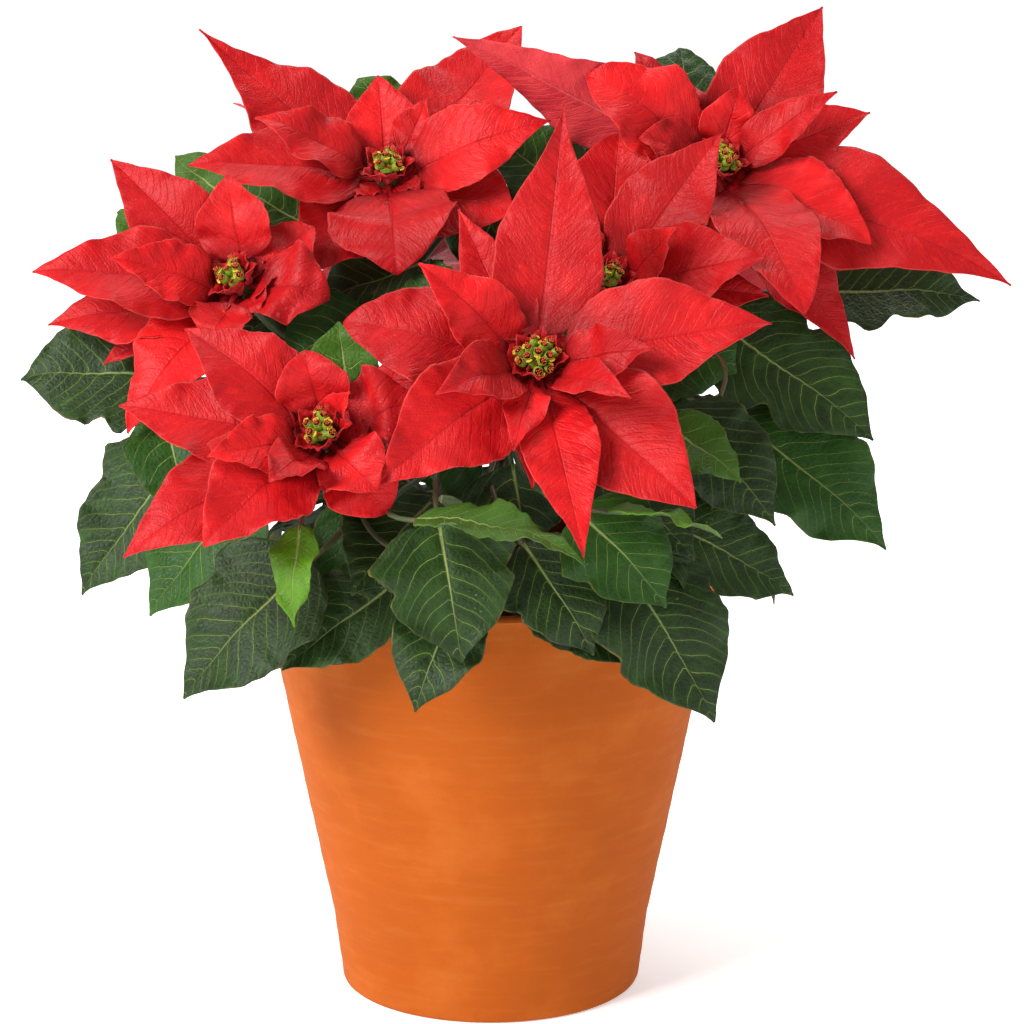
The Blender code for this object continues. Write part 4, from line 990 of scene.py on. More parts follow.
def stem_tree():
    """Round stems along edges, as thick as their points say, with a slightly uneven skin."""
    add, entry, identifiers = new_tree("stems_along_paths", {
        "Sides": "NodeSocketInt", "Bark Size": "NodeSocketFloat", "Bark Height": "NodeSocketFloat",
        "Finish": "NodeSocketMaterial"})
    path = add("GeometryNodeMeshToCurve", {"Mesh": entry["Geometry"]})
    ring = add("GeometryNodeCurvePrimitiveCircle", {"Resolution": entry["Sides"], "Radius": 1.0},
               mode="RADIUS")
    girth = add("GeometryNodeInputNamedAttribute", {"Name": "girth"}, data_type="FLOAT")
    tube = add("GeometryNodeCurveToMesh", {"Curve": path, "Profile Curve": ring, "Scale": girth,
                                           "Fill Caps": True})
    place = add("GeometryNodeInputPosition")
    fine = add("ShaderNodeMath", {0: 1.0, 1: entry["Bark Size"]}, operation="DIVIDE")
    rough = add("ShaderNodeTexNoise", {"Vector": place, "Scale": fine, "Detail": 2.0}, "Fac")
    lift = add("ShaderNodeMath", {0: rough, 1: 0.5}, operation="SUBTRACT")
    height = add("ShaderNodeMath", {0: lift, 1: entry["Bark Height"]}, operation="MULTIPLY")
    normal = add("GeometryNodeInputNormal")
    offset = add("ShaderNodeVectorMath", {0: normal, "Scale": height}, operation="SCALE")
    bark = add("GeometryNodeSetPosition", {"Geometry": tube, "Offset": offset})
    smooth = add("GeometryNodeSetShadeSmooth", {"Geometry": bark})
    return end_tree(add, smooth, entry["Finish"]), identifiers


def evaluated(item, helpers):
    """The plain mesh of an object with its modifiers; it and its helpers are removed."""
    for helper in helpers:
        bpy.context.collection.objects.link(helper)
    mesh = bpy.data.meshes.new_from_object(item.evaluated_get(bpy.context.evaluated_depsgraph_get()))
    for helper in helpers:
        bpy.data.objects.remove(helper, do_unlink=True)
    return mesh


def grown(name, base, maker, inputs):
    """The plain mesh that a geometry tree makes from a base mesh."""
    tree, identifiers = maker()
    item = bpy.data.objects.new(name, base)
    helpers = [item]
    growth = item.modifiers.new(name, "NODES")
    growth.node_group = tree
    for title, value in inputs.items():
        if isinstance(value, bpy.types.Mesh):
            value = bpy.data.objects.new(value.name, value)
            helpers.append(value)
        growth[identifiers[title]] = value
    mesh = evaluated(item, helpers)
    mesh.name = name
    bpy.data.node_groups.remove(tree)
    return mesh


def joined(name, meshes):
    """One mesh from several, each keeping its own finish."""
    finishes = []
    work = bmesh.new()
    for mesh in meshes:
        before = len(work.faces)
        work.from_mesh(mesh)
        work.faces.ensure_lookup_table()
        slots = []
        for finish in mesh.materials:
            if finish not in finishes:
                finishes.append(finish)
            slots.append(finishes.index(finish))
        for face in work.faces[before:]:
            face.material_index = slots[face.material_index]
    return from_work(work, name, *finishes, smooth=False)


def put_in_scene(name, data):
    """A new object that shows a mesh, a light or a camera."""
    item = bpy.data.objects.new(name, data)
    bpy.context.collection.objects.link(item)
    return item


def add_piece(name, mesh, slot_name, *nodes):
    """Put a finished mesh in the scene as a piece that stands for its solids."""
    piece = put_in_scene(name, mesh)
    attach(piece, "root")
    if nodes:
        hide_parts(*nodes)


def path_mesh(paths):
    """Edges along each path, with the stem's half thickness kept at each point."""
    points, edges, girths = [], [], []
    for path, radii in paths:
        first = len(points)
        points += path
        girths += [radius * MM for radius in radii]
        edges += [(first + step, first + step + 1) for step in range(len(path) - 1)]
    return marked(mesh_in_mm("paths", points, edges=edges), "girth", girths)


def spot_mesh(spots):
    """Loose points, each with the way that what stands on it leans."""
    mesh = mesh_in_mm("spots", [place for place, _ in spots])
    lean_mark = mesh.attributes.new("lean", "FLOAT_VECTOR", "POINT")
    lean_mark.data.foreach_set("vector", [part for _, lean in spots for part in lean])
    return mesh


def stem_mesh(name, paths, finish, sides, bark_height, bark_size=4.0):
    """Stems grown along paths, with bark of a height and size in mm."""
    return grown(name, path_mesh(paths), stem_tree, {
        "Sides": sides, "Bark Size": bark_size * MM, "Bark Height": bark_height * MM, "Finish": finish})


def turned(name, profile, sides, finish=None, uneven=None):
    """A turned shape about the upright axis, its ends closed on the axis."""
    points, rings, faces = [], [], []
    turns = [2 * math.pi * side / sides for side in range(sides)]
    for radius, height in profile:
        if radius == 0.0:
            rings.append([len(points)] * sides)
            points.append((0.0, 0.0, height))
            continue
        rings.append(range(len(points), len(points) + sides))
        points += [at_bearing(radius + (uneven(turn, height) if uneven else 0.0), turn, height)
                   for turn in turns]
    for lower, upper in zip(rings, rings[1:]):
        for side in range(sides):
            after = (side + 1) % sides
            corners = [lower[side], lower[after], upper[after], upper[side]]
            faces.append(tuple(dict.fromkeys(corners)))
    mesh = mesh_in_mm(name, points, faces)
    mesh.shade_smooth()
    if finish:
        mesh.materials.append(finish)
    return mesh


def linear(code):
    """An sRGB hex colour as linear red, green and blue."""
    parts = [int(code[first:first + 2], 16) / 255 for first in (1, 3, 5)]
    return tuple(part / 12.92 if part <= 0.04045 else ((part + 0.055) / 1.055) ** 2.4 for part in parts)


def paint(colour):
    """A colour as a socket takes it, from a hex code, a setting or another socket."""
    if isinstance(colour, bpy.types.NodeSocket):
        return colour
    return (*(linear(colour) if isinstance(colour, str) else colour), 1.0)


def new_finish(name, surface):
    """A material whose shader has these values; gives both, what adds its nodes, and the place."""
    finish = bpy.data.materials.new(name)
    finish.use_nodes = True
    shader = finish.node_tree.nodes["Principled BSDF"]
    feed(shader, surface)
    add = partial(add_node, finish.node_tree)
    return finish, shader, add, add("ShaderNodeTexCoord", give="Object")


def share(add, source, low=None, high=None, most=1.0, least=0.0):
    """How far a layer shows: as its source says, times a number or socket, or over the source's range."""
    if low is None:
        return source
    if high is None:
        return add("ShaderNodeMath", {0: source, 1: low}, operation="MULTIPLY")
    return add("ShaderNodeMapRange", {"Value": source, "From Min": low, "From Max": high,
                                      "To Min": least, "To Max": most})


def layered(add, base, *layers):
    """A colour with others laid over it, each as far as its share says."""
    result = paint(base)
    for colour, *source in layers:
        result = add("ShaderNodeMix", {"Factor": share(add, *source), "A": result, "B": paint(colour)},
                     data_type="RGBA")
    return result


def coated(add, shader, colour, gloss, height, layers=(), depth=0.6, strength=0.7):
    """Give a shader its colour, its roughness and a bump whose height, in mm, is summed from layers."""
    for lines, rise in layers:
        height = add("ShaderNodeMath", {0: lines, 1: rise, 2: height}, operation="MULTIPLY_ADD")
    bump = add("ShaderNodeBump", {"Height": height, "Distance": depth * MM, "Strength": strength})
    feed(shader, {"Base Color": colour, "Roughness": gloss, "Normal": bump})


def per_metre(size):
    """Texture scale for a pattern whose grain is a size in millimetres."""
    return 1.0 / (size * MM)


def lines_at(add, phase, width, soft):
    """1 on whole numbers of a phase and 0 away from them, for veins of a width in the phase."""
    off = add("ShaderNodeMath", {0: phase, 1: 0.5}, operation="PINGPONG")
    return add("ShaderNodeMapRange", {"Value": off, "From Min": width, "From Max": width + soft,
                                      "To Min": 1.0, "To Max": 0.0}, interpolation_type="SMOOTHSTEP")


def blade_marks(add, place, blotch, mottle, cells, crease):
    """What a blade's mesh tells its skin, and the patterns of that skin, from their sizes in mm."""
    marks = SimpleNamespace(**{key: add("ShaderNodeAttribute", give="Fac", attribute_name=key)
                               for key in BLADE_READS})
    flat = add("ShaderNodeUVMap", uv_map="flat")
    apart = add("ShaderNodeSeparateXYZ", {0: flat}, "X")
    reach = add("ShaderNodeMath", {0: apart}, operation="ABSOLUTE")
    wobble = add("ShaderNodeTexNoise", {"Vector": place, "Scale": per_metre(5.0), "Detail": 2.0}, "Fac")
    marks.phase = add("ShaderNodeMath", {0: wobble, 1: 0.22, 2: marks.vein}, operation="MULTIPLY_ADD")
    marks.edge = add("ShaderNodeMath", {0: marks.across}, operation="ABSOLUTE")
    marks.rim = share(add, marks.edge, 0.955, 0.985)
    taper = add("ShaderNodeMath", {0: marks.along, 1: MM, 2: reach}, operation="MULTIPLY_ADD")
    marks.midrib = share(add, taper, 1.1 * MM, 0.5 * MM)
    marks.blotch = add("ShaderNodeTexNoise", {"Vector": place, "Scale": per_metre(blotch[0]),
                                              "Detail": 4.0, "Roughness": blotch[1]}, "Fac")
    marks.mottle = add("ShaderNodeTexNoise", {"Vector": place, "Scale": per_metre(mottle), "Detail": 3.0},
                       "Fac")
    marks.cells = add("ShaderNodeTexVoronoi", {"Vector": place, "Scale": per_metre(cells)}, "Distance",
                      feature="DISTANCE_TO_EDGE")
    # Soft creases run along the side veins: their breadth is in panels, their length in mm
    creased = add("ShaderNodeCombineXYZ", {"X": share(add, marks.vein, crease[0]),
                                           "Y": share(add, reach, per_metre(crease[1])),
                                           "Z": share(add, marks.tone, 40.0)})
    marks.crease = add("ShaderNodeTexNoise", {"Vector": creased, "Scale": 1.0, "Detail": 3.0,
                                              "Roughness": 0.55, "Distortion": 0.4}, "Fac")
    return marks


def bract_skin(settings):
    """Living bract: a thin velvety sheet, dyed through, crumpled along its sunk veins, with a paler rim; its
    colour also carries painted shade at its base and in its crease valleys, and painted highlight on the
    crease ridges.
    """
    finish, shader, add, place = new_finish("velvety_red_bract", {
        "IOR": 1.4, "Sheen Weight": 0.03, "Sheen Roughness": 0.5, "Sheen Tint": paint("#FF6058"),
        "Specular IOR Level": 0.24})
    marks = blade_marks(add, place, blotch=(16.0, 0.55), mottle=1.6, cells=1.5, crease=(1.1, 7.0))
    vein = lines_at(add, marks.phase, 0.02, 0.09)
    body = layered(add, settings.bright,
                   (settings.deep, marks.blotch, 0.34, 0.6),
                   # Darker by each bract's tone: random on the drawn bracts, and full on the small inner
                   # bracts as painted shade
                   ("#8A070D", marks.tone, 0.75),
                   ("#DC3C32", marks.mottle, 0.58, 0.8, 0.2),
                   # Painted shade in the crease valleys and painted highlight on the crease ridges, following
                   # the crease relief of the bump
                   ("#9A080E", marks.crease, 0.48, 0.3, 0.25),
                   ("#DA2420", marks.crease, 0.54, 0.75, 0.3),
                   # Painted shade: darker toward the base of each bract, where it sits in the shadow round
                   # the heart
                   ("#540408", marks.along, 0.22, 0.0, 0.85),
                   ("#A00A10", vein, 0.06),
                   ("#8C080E", marks.midrib, 0.3),
                   ("#D66458", marks.rim, 0.2))
    below = layered(add, "#C2363A",
                    ("#B0262E", marks.blotch, 0.4, 0.65),
                    ("#C04A50", vein, 0.25),
                    ("#C86464", marks.midrib, 0.5))
    coated(add, shader, layered(add, body, (below, marks.under)),
           share(add, marks.mottle, 0.3, 0.7, 0.54, 0.4), share(add, marks.cells, 0.0, 0.35, 0.2),
           ((marks.crease, 1.9), (vein, -0.25), (marks.midrib, -0.8)))
    return finish


def leaf_skin(settings):
    """Living leaf: leathery and satin above with a pale net of veins, paler and duller below; its colour also
    carries painted shade in its crease valleys and painted highlight on the crease ridges.
    """
    finish, shader, add, place = new_finish("leathery_green_leaf", {"IOR": 1.42, "Specular IOR Level": 0.26})
    marks = blade_marks(add, place, blotch=(14.0, 0.6), mottle=1.8, cells=2.4, crease=(0.9, 9.0))
    fading = share(add, marks.edge, 0.4, 0.9, 0.1, 1.0)
    vein = share(add, lines_at(add, marks.phase, 0.002, 0.03), fading)
    net = share(add, marks.cells, 0.09, 0.0)
    body = layered(add, settings.dark,
                   (settings.light, marks.blotch, 0.4, 0.66),
                   ("#131E0C", marks.tone, 0.5, 0.0, 0.7),
                   ("#1F4E0C", marks.tone, 0.45, 1.0, 0.75),
                   ("#33491C", marks.mottle, 0.55, 0.8, 0.2),
                   ("#4E7A0A", marks.young),
                   # Painted shade in the crease valleys and painted highlight on the crease ridges, following
                   # the crease relief of the bump
                   ("#0F2206", marks.crease, 0.48, 0.28, 0.35),
                   ("#34581A", marks.crease, 0.54, 0.76, 0.3),
                   ("#36521A", lines_at(add, marks.phase, 0.02, 0.22), 0.2),
                   ("#3E5824", net, 0.12),
                   ("#8C9C4C", vein, 0.7),
                   ("#8C9A56", marks.midrib, 0.7),
                   ("#6E5F30", marks.rim, share(add, marks.blotch, 0.5, 0.62, 0.65, 0.1)))
    below = layered(add, "#4C6036",
                    ("#3E522A", marks.blotch, 0.4, 0.65),
                    ("#5E7446", net, 0.4),
                    ("#7A8C5E", vein, 0.7),
                    ("#8C9A6A", marks.midrib, 0.85))
    satin = share(add, marks.mottle, 0.3, 0.7, 0.58, 0.44)
    gloss = add("ShaderNodeMath", {0: marks.under, 1: 0.25, 2: satin}, operation="MULTIPLY_ADD")
    coated(add, shader, layered(add, body, (below, marks.under)), gloss,
           share(add, marks.cells, 0.0, 0.3, 0.35),
           ((marks.crease, 0.9), (vein, -0.7), (marks.midrib, -1.0)))
    return finish


def stem_skin():
    """Stem: green and a little waxy above, turning to grey-brown bark down at the peat."""
    finish, shader, add, place = new_finish("green_stem_and_bark", {
        "IOR": 1.45, "Subsurface Weight": 0.05, "Subsurface Radius": (0.6, 1.0, 0.2),
        "Subsurface Scale": MM})
    height = add("ShaderNodeSeparateXYZ", {0: place}, "Z")
    long_grain = add("ShaderNodeMapping", {"Vector": place, "Scale": (1.0, 1.0, 0.25)})
    grain = add("ShaderNodeTexNoise", {"Vector": long_grain, "Scale": per_metre(1.2), "Detail": 4.0}, "Fac")
    blush = add("ShaderNodeTexNoise", {"Vector": place, "Scale": per_metre(22.0), "Detail": 2.0}, "Fac")
    woody = share(add, height, BARK_ENDS * MM, BARK_WHOLE * MM)
    green = layered(add, "#2A3E16", ("#5A2A1C", blush, 0.46, 0.62, 0.6), ("#46602A", grain, 0.5, 0.75, 0.5))
    bark = layered(add, "#54432E", ("#382B1D", grain, 0.4, 0.6), ("#75664E", grain, 0.62, 0.8))
    coated(add, shader, layered(add, green, (bark, woody)), share(add, woody, 0.0, 1.0, 0.85, 0.48), grain,
           depth=0.4)
    return finish


def clay_skin(settings):
    """Fired terracotta: matt earthen clay, turned on a wheel, with fine grit and a little lime bloom."""
    finish, shader, add, place = new_finish("turned_fired_terracotta", {
        "IOR": 1.5, "Specular IOR Level": 0.15, "Diffuse Roughness": 0.4})
    turning = add("ShaderNodeMapping", {"Vector": place, "Scale": (0.12, 0.12, 1.0)})
    rings = add("ShaderNodeTexNoise", {"Vector": turning, "Scale": per_metre(4.0), "Detail": 3.0,
                                       "Roughness": 0.6}, "Fac")
    cloud = add("ShaderNodeTexNoise", {"Vector": place, "Scale": per_metre(38.0), "Detail": 5.0,
                                       "Roughness": 0.6}, "Fac")
    grit = add("ShaderNodeTexNoise", {"Vector": place, "Scale": per_metre(0.9), "Detail": 4.0,
                                      "Roughness": 0.7}, "Fac")
    pits = add("ShaderNodeTexVoronoi", {"Vector": place, "Scale": per_metre(5.5)}, "Distance")
    pit = share(add, pits, 0.12, 0.05)
    colour = layered(add, settings.clay,
                     ("#9C4A0E", cloud, 0.42, 0.7, 0.45),
                     ("#BC6A2A", cloud, 0.5, 0.28, 0.35),
                     ("#C07434", rings, 0.52, 0.74, 0.16),
                     ("#94450E", rings, 0.46, 0.28, 0.16),
                     ("#C88250", grit, 0.6, 0.8, 0.25),
                     ("#8E440E", pit, 0.2))
    coated(add, shader, colour, share(add, grit, 0.3, 0.7, 0.9, 0.72), grit, ((rings, 0.9), (pit, -0.3)),
           depth=0.3, strength=0.6)
    return finish


def peat_skin():
    """Moist peat compost: nearly black brown crumbs with paler dry fibres."""
    finish, shader, add, place = new_finish("moist_peat_compost", {"IOR": 1.4, "Specular IOR Level": 0.25})
    crumb = add("ShaderNodeTexNoise", {"Vector": place, "Scale": per_metre(3.0), "Detail": 6.0,
                                       "Roughness": 0.7}, "Fac")
    fibre = add("ShaderNodeTexVoronoi", {"Vector": place, "Scale": per_metre(2.2)}, "Distance",
                feature="DISTANCE_TO_EDGE")
    colour = layered(add, "#2E2016",
                     ("#1B120C", crumb, 0.45, 0.6),
                     ("#5A4129", crumb, 0.4, 0.28),
                     ("#7A5C3A", fibre, 0.04, 0.0, 0.5))
    coated(add, shader, colour, share(add, crumb, 0.3, 0.7, 0.75, 0.95), crumb, depth=1.5, strength=0.9)
    return finish


def perlite_skin():
    """Perlite: puffed volcanic glass, chalky white and full of pores."""
    finish, shader, add, place = new_finish("puffed_perlite", {"IOR": 1.5})
    pores = add("ShaderNodeTexVoronoi", {"Vector": place, "Scale": per_metre(0.7)}, "Distance")
    colour = layered(add, "#E9E5DB", ("#A79F90", pores, 0.25, 0.05, 0.7))
    coated(add, shader, colour, 0.9, pores, depth=0.4, strength=0.8)
    return finish


def waxy_skin(name, outer, speck, inner, gloss):
    """Waxy flower part: one colour outside, specked, and another where its mesh is marked as inside."""
    finish, shader, add, place = new_finish(name, {
        "IOR": 1.46, "Subsurface Weight": 0.15, "Subsurface Radius": (1.0, 0.8, 0.2),
        "Subsurface Scale": 0.8 * MM})
    grain = add("ShaderNodeTexNoise", {"Vector": place, "Scale": per_metre(0.9), "Detail": 3.0}, "Fac")
    inside = add("ShaderNodeAttribute", give="Fac", attribute_name="inside")
    colour = layered(add, outer, (speck, grain, 0.45, 0.7, 0.7), (inner, inside))
    coated(add, shader, colour, gloss, grain, depth=0.2, strength=0.6)
    return finish


def floor_skin(settings):
    """Floor of matt milk-white, which glows by itself as painted light to wash out its shadows, and more so
    away from what stands on it.
    """
    finish, shader, add, place = new_finish("lit_milky_acrylic", {
        "Roughness": 0.9, "Specular IOR Level": 0.1, "Emission Color": paint("#FFFFFF")})
    cloud = add("ShaderNodeTexNoise", {"Vector": place, "Scale": per_metre(60.0), "Detail": 2.0}, "Fac")
    away = add("ShaderNodeVectorMath", {0: place}, "Value", operation="LENGTH")
    feed(shader, {"Base Color": layered(add, settings.table, ("#F1F1EF", cloud, 0.45, 0.7, 0.5)),
                  # Painted light: the floor glows by itself, less near the plant and more away from it
                  "Emission Strength": share(add, away, 0.35, 1.3, FAR_GLOW, settings.glow)})
    return finish


def pot_radius(height):
    """Outer radius of the pot's wall, which steepens a little toward the foot."""
    if height < POT_BEND_HEIGHT:
        up = height / POT_BEND_HEIGHT
        return POT_FOOT_RADIUS + (POT_BEND_RADIUS - POT_FOOT_RADIUS) * up
    up = (height - POT_BEND_HEIGHT) / (POT_HEIGHT - LIP_BELOW_TOP - POT_BEND_HEIGHT)
    return POT_BEND_RADIUS + (POT_TOP_RADIUS - POT_BEND_RADIUS) * up


def wall_levels(low, high, step=4.0):
    """Even heights from low to high, about a step apart."""
    return list(np.linspace(low, high, max(2, round((high - low) / step) + 1)))


def pot_profile():
    """Foot, wall, rounded lip and inside of the pot, from the middle underneath to the middle inside."""
    foot = [(0.0, 0.0), (40.0, 0.0), *[(POT_FOOT_RADIUS - inset, z) for inset, z in FOOT_EDGE],
            (pot_radius(2.4), 2.4)]
    wall = [(pot_radius(z), z) for z in wall_levels(6.0, POT_HEIGHT - 3.2)]
    middle = pot_radius(POT_HEIGHT) - POT_WALL / 2
    turns = [math.pi * step / LIP_STEPS for step in range(LIP_STEPS + 1)]
    lip = [(middle + POT_WALL / 2 * math.cos(turn), POT_HEIGHT - POT_LIP * (1 - math.sin(turn)))
           for turn in turns]
    inside = [(pot_radius(z) - POT_WALL, z) for z in reversed(wall_levels(POT_FLOOR + 4, POT_HEIGHT - 5))]
    floor = [(pot_radius(POT_FLOOR) - POT_WALL - 2.5, POT_FLOOR), (20.0, POT_FLOOR), (0.0, POT_FLOOR)]
    return foot + wall + lip + inside + floor


def hand_turned(turn, height):
    """A little out of round, with faint turning rings, in millimetres."""
    wobble = 0.16 * math.sin(2 * turn + 0.02 * height) + 0.08 * math.sin(5 * turn + 1.7)
    rings = 0.09 * math.sin(height / 1.9) + 0.07 * math.sin(height / 5.3 + turn)
    return (wobble + rings) * min(1.0, height / 8.0)


def make_pot(settings):
    """The turned pot with its drain holes drilled."""
    clay = clay_skin(settings)
    pot = bpy.data.objects.new("pot_blank", turned("terracotta_pot", pot_profile(), POT_SIDES, clay,
                                                   hand_turned))
    helpers = [pot]
    low, high = -DRILL_PAST, POT_FLOOR + DRILL_PAST
    for number in range(DRAIN_COUNT):
        turn = 2 * math.pi * number / DRAIN_COUNT + math.pi / 6
        drill = turned("drill", [(0.0, low), (DRAIN_RADIUS, low), (DRAIN_RADIUS, high), (0.0, high)], 32)
        drill.transform(Matrix.Translation(at_bearing(DRAIN_OFFSET, turn, 0.0) * MM))
        helpers.append(bpy.data.objects.new("drill", drill))
        cut = pot.modifiers.new("drain", "BOOLEAN")
        cut.operation = "DIFFERENCE"
        cut.object = helpers[-1]
    fired = evaluated(pot, helpers)
    fired.set_sharp_from_angle(angle=math.radians(50))
    fired.materials.clear()
    fired.materials.append(clay)
    add_piece("terracotta_pot", fired, "terracotta", "pot")


def soil_height(x, y):
    """Crumbled surface of the peat, as three crossing ripples."""
    ripple = math.sin(0.11 * x + 0.4) * math.cos(0.13 * y)
    ripple += 0.6 * math.sin(0.23 * x + 0.19 * y + 1.1)
    ripple += 0.4 * math.cos(0.31 * y - 0.17 * x)
    return SOIL_TOP + SOIL_RELIEF * ripple / 2


def crumbled(x, y):
    """The peat's broad swell with its lumps, in millimetres."""
    return soil_height(x, y) + LUMP_HEIGHT * noise.fractal(Vector((x, y, 0.0)) / LUMP_SIZE, 0.8, 2.1, 4)


def lump_mesh(name, radius, squash, seed, finish):
    """A small uneven grain."""
    work = bmesh.new()
    bmesh.ops.create_icosphere(work, subdivisions=1, radius=radius * MM)
    for vertex in work.verts:
        swing = noise.noise(vertex.co / (radius * MM) * 1.3 + Vector((seed, 0.0, 0.0)))
        vertex.co *= 1 + 0.55 * swing
        vertex.co.z *= squash
    return from_work(work, name, finish, smooth=False)


def peat_shell(finish):
    """Closed body of peat whose top is lumpy, on even rings."""
    floor = POT_FLOOR + GAP
    foot, bend, edge = (pot_radius(z) - POT_WALL - GAP for z in (floor, POT_BEND_HEIGHT, SOIL_TOP))
    profile = [(0.0, floor), (foot, floor), (bend, POT_BEND_HEIGHT)]
    profile += [(edge * ring / PEAT_RINGS, SOIL_TOP) for ring in range(PEAT_RINGS, -1, -1)]
    mesh = turned("peat_body", profile, PEAT_SIDES, finish)
    for vertex in mesh.vertices:
        x, y, z = vertex.co / MM
        if z > SOIL_TOP - 0.1:
            vertex.co.z = crumbled(x, y) * MM
    return mesh


def peat_top(finish):
    """The peat's bare top on which grains lie, a little short of the wall."""
    work = bmesh.new()
    work.from_mesh(peat_shell(finish))
    reach = (pot_radius(SOIL_TOP) - POT_WALL - BARE_AT_WALL) * MM
    low = (SOIL_TOP - BARE_BELOW) * MM
    middles = [(face, face.calc_center_median()) for face in work.faces]
    away = [face for face, middle in middles if middle.xy.length > reach or middle.z < low]
    bmesh.ops.delete(work, geom=away, context="FACES")
    return from_work(work, "peat_top", finish)


def make_peat(settings):
    """The peat, and loose crumbs and perlite on it: radius, squash, how many, smallest and largest."""
    peat = peat_skin()
    add_piece("peat", peat_shell(peat), "peat", "potting_soil")
    kinds = (("peat_crumbs", 1.9, 0.7, peat, settings.crumbs, 0.45, 1.5),
             ("perlite_grains", 1.6, 0.9, perlite_skin(), settings.perlite, 0.5, 1.2))
    for number, (name, radius, squash, finish, density, smallest, largest) in enumerate(kinds):
        grain = lump_mesh(name, radius, squash, 3.0 + number, finish)
        mesh = grown(name, peat_top(peat), scatter_tree, {
            "Density": density, "Template": grain, "Smallest": smallest, "Largest": largest,
            "Seed": FIXED_SEED + number, "Finish": finish})
        add_piece(name, mesh, "peat")


def trunk_path(plant):
    """Centre points and half thicknesses of a trunk, from down in the peat to past its fork."""
    ground, fork = PLANTS[plant]
    bend = ground + SKY * 0.4 * (fork.z - ground.z)
    rise, _ = curve(ground, bend, fork, np.linspace(0.1, 1.0, 12))
    path = [ground - SKY * (HOLE_DEPTH - GAP), ground - SKY * 8, *map(Vector, rise)]
    path.append(fork + (fork - bend).normalized() * 4)
    steps = np.linspace(0.0, 1.0, len(path))
    radii = [TRUNK_RADIUS + (BRANCH_RADIUS * 1.1 - TRUNK_RADIUS) * s + 0.35 * math.sin(31 * s) for s in steps]
    return path, radii


def branch_path(place, leaf_places):
    """A bloom's branch up into its core, swollen a little where each leaf stands on it."""
    steps = np.linspace(0.0, 1.0, BRANCH_ROWS)
    path = [branch_point(place, s) for s in steps] + [place.centre - place.axis * (CORE_BELOW - 3)]
    radii = []
    for s in steps:
        scar = max((math.exp(-((s - at) / 0.03) ** 2) for at in leaf_places), default=0.0)
        radii.append(BRANCH_RADIUS + (TWIG_RADIUS - BRANCH_RADIUS) * s + 0.6 * scar)
    return path, radii + [TWIG_RADIUS]


def stalk_path(blade):
    """A leaf's own stalk, thickest at its foot, which ends inside the leaf's sheet."""
    points, _, lead = neck_curve(blade, np.linspace(0.0, 1.0, len(STALK_RADII)))
    return [*map(Vector, points), blade.base + lead * 3.0], [*STALK_RADII, 0.7]


def nearest_step(place, point):
    """Where along a bloom's branch a point lies nearest, and how far from it."""
    steps = [step / 50 for step in range(51)]
    return min(((branch_point(place, s) - point).length, s) for s in steps)


def make_stems(placed):
    """Each plant's trunk and branches, and the stalks of its leaves."""
    skin = stem_skin()
    for plant in PLANTS:
        blades = placed["plant_" + plant]
        scars = {place.name: [] for place in BLOOMS if place.plant == plant}
        for blade in blades:
            _, s, name = min((*nearest_step(place, blade.start), place.name) for place in BLOOMS
                             if place.name in scars)
            scars[name].append(s)
        paths = [trunk_path(plant)]
        paths += [branch_path(place, scars[place.name]) for place in BLOOMS if place.name in scars]
        wood = stem_mesh("wood", paths, skin, sides=14, bark_height=0.6)
        stalks = stem_mesh("stalks", [stalk_path(blade) for blade in blades], skin, sides=8,
                           bark_height=0.2)
        name = "stems_" + plant
        add_piece(name, joined(name, [wood, stalks]), "green_leaf", "plant_" + plant)


def leaf_tone(blade, draw):
    """How dark a leaf is, and how young: small ones that stand up are fresh and bright."""
    young = next((young for width, young in YOUNG_BY_WIDTH if blade.width < width), 0.0)
    return draw[5], 0.0 if blade.far else young


def make_leaves(settings, placed):
    """The green leaves of each plant."""
    skin = leaf_skin(settings)
    for plant in PLANTS:
        name, node = "leaves_" + plant, "plant_" + plant
        draws = np.random.default_rng(FIXED_SEED).random((len(placed[node]), 6))
        tones = [leaf_tone(blade, draw) for blade, draw in zip(placed[node], draws)]
        add_piece(name, blade_mesh(name, placed[node], settings, tones, skin), "green_leaf", node)


def inner_bracts(place):
    """Small bracts: some lie low and close what is open between the necks, a few stand by the heart;
    make_bracts gives them all the darkest tone, as painted shade.
    """
    for count, length, width, foot, drop, fold in INNER_BRACTS:
        for number in range(count):
            radial = around(place, number * GOLDEN_TURN + length)
            reach = length * (1.0 - 0.03 * number)
            start = place.centre + place.axis * foot + radial * ROOT_OFFSET
            tip = place.centre + radial * reach + place.axis * (drop + 0.4 * number)
            yield Blade(start, start + radial * 3.5, tip, place.axis, width, bow=reach * 0.1, fold=fold,
                        wave=0.8, phase=number * BLADE_PHASE, taper=0.9)


def make_bracts(settings, placed):
    """The red bracts of each bloom, on its green core."""
    skin, stem = bract_skin(settings), stem_skin()
    for place in BLOOMS:
        name, node = "bracts_" + place.name, "bloom_" + place.name
        blades = [*placed[node], *inner_bracts(place)]
        draws = np.random.default_rng(FIXED_SEED + 1).random(len(blades))
        # The small inner bracts get the darkest tone: painted shade where they show between the necks
        tones = [(tone if number < len(placed[node]) else 1.0, 0.0) for number, tone in enumerate(draws)]
        mesh = blade_mesh("bracts", blades, settings, tones, skin)
        core = [place.centre + place.axis * level for level, _ in CORE_OUTLINE]
        tube = stem_mesh("core", [(core, [radius for _, radius in CORE_OUTLINE])], stem, sides=14,
                         bark_height=0.4)
        add_piece(name, joined(name, [mesh, tube]), "red_bract", node)


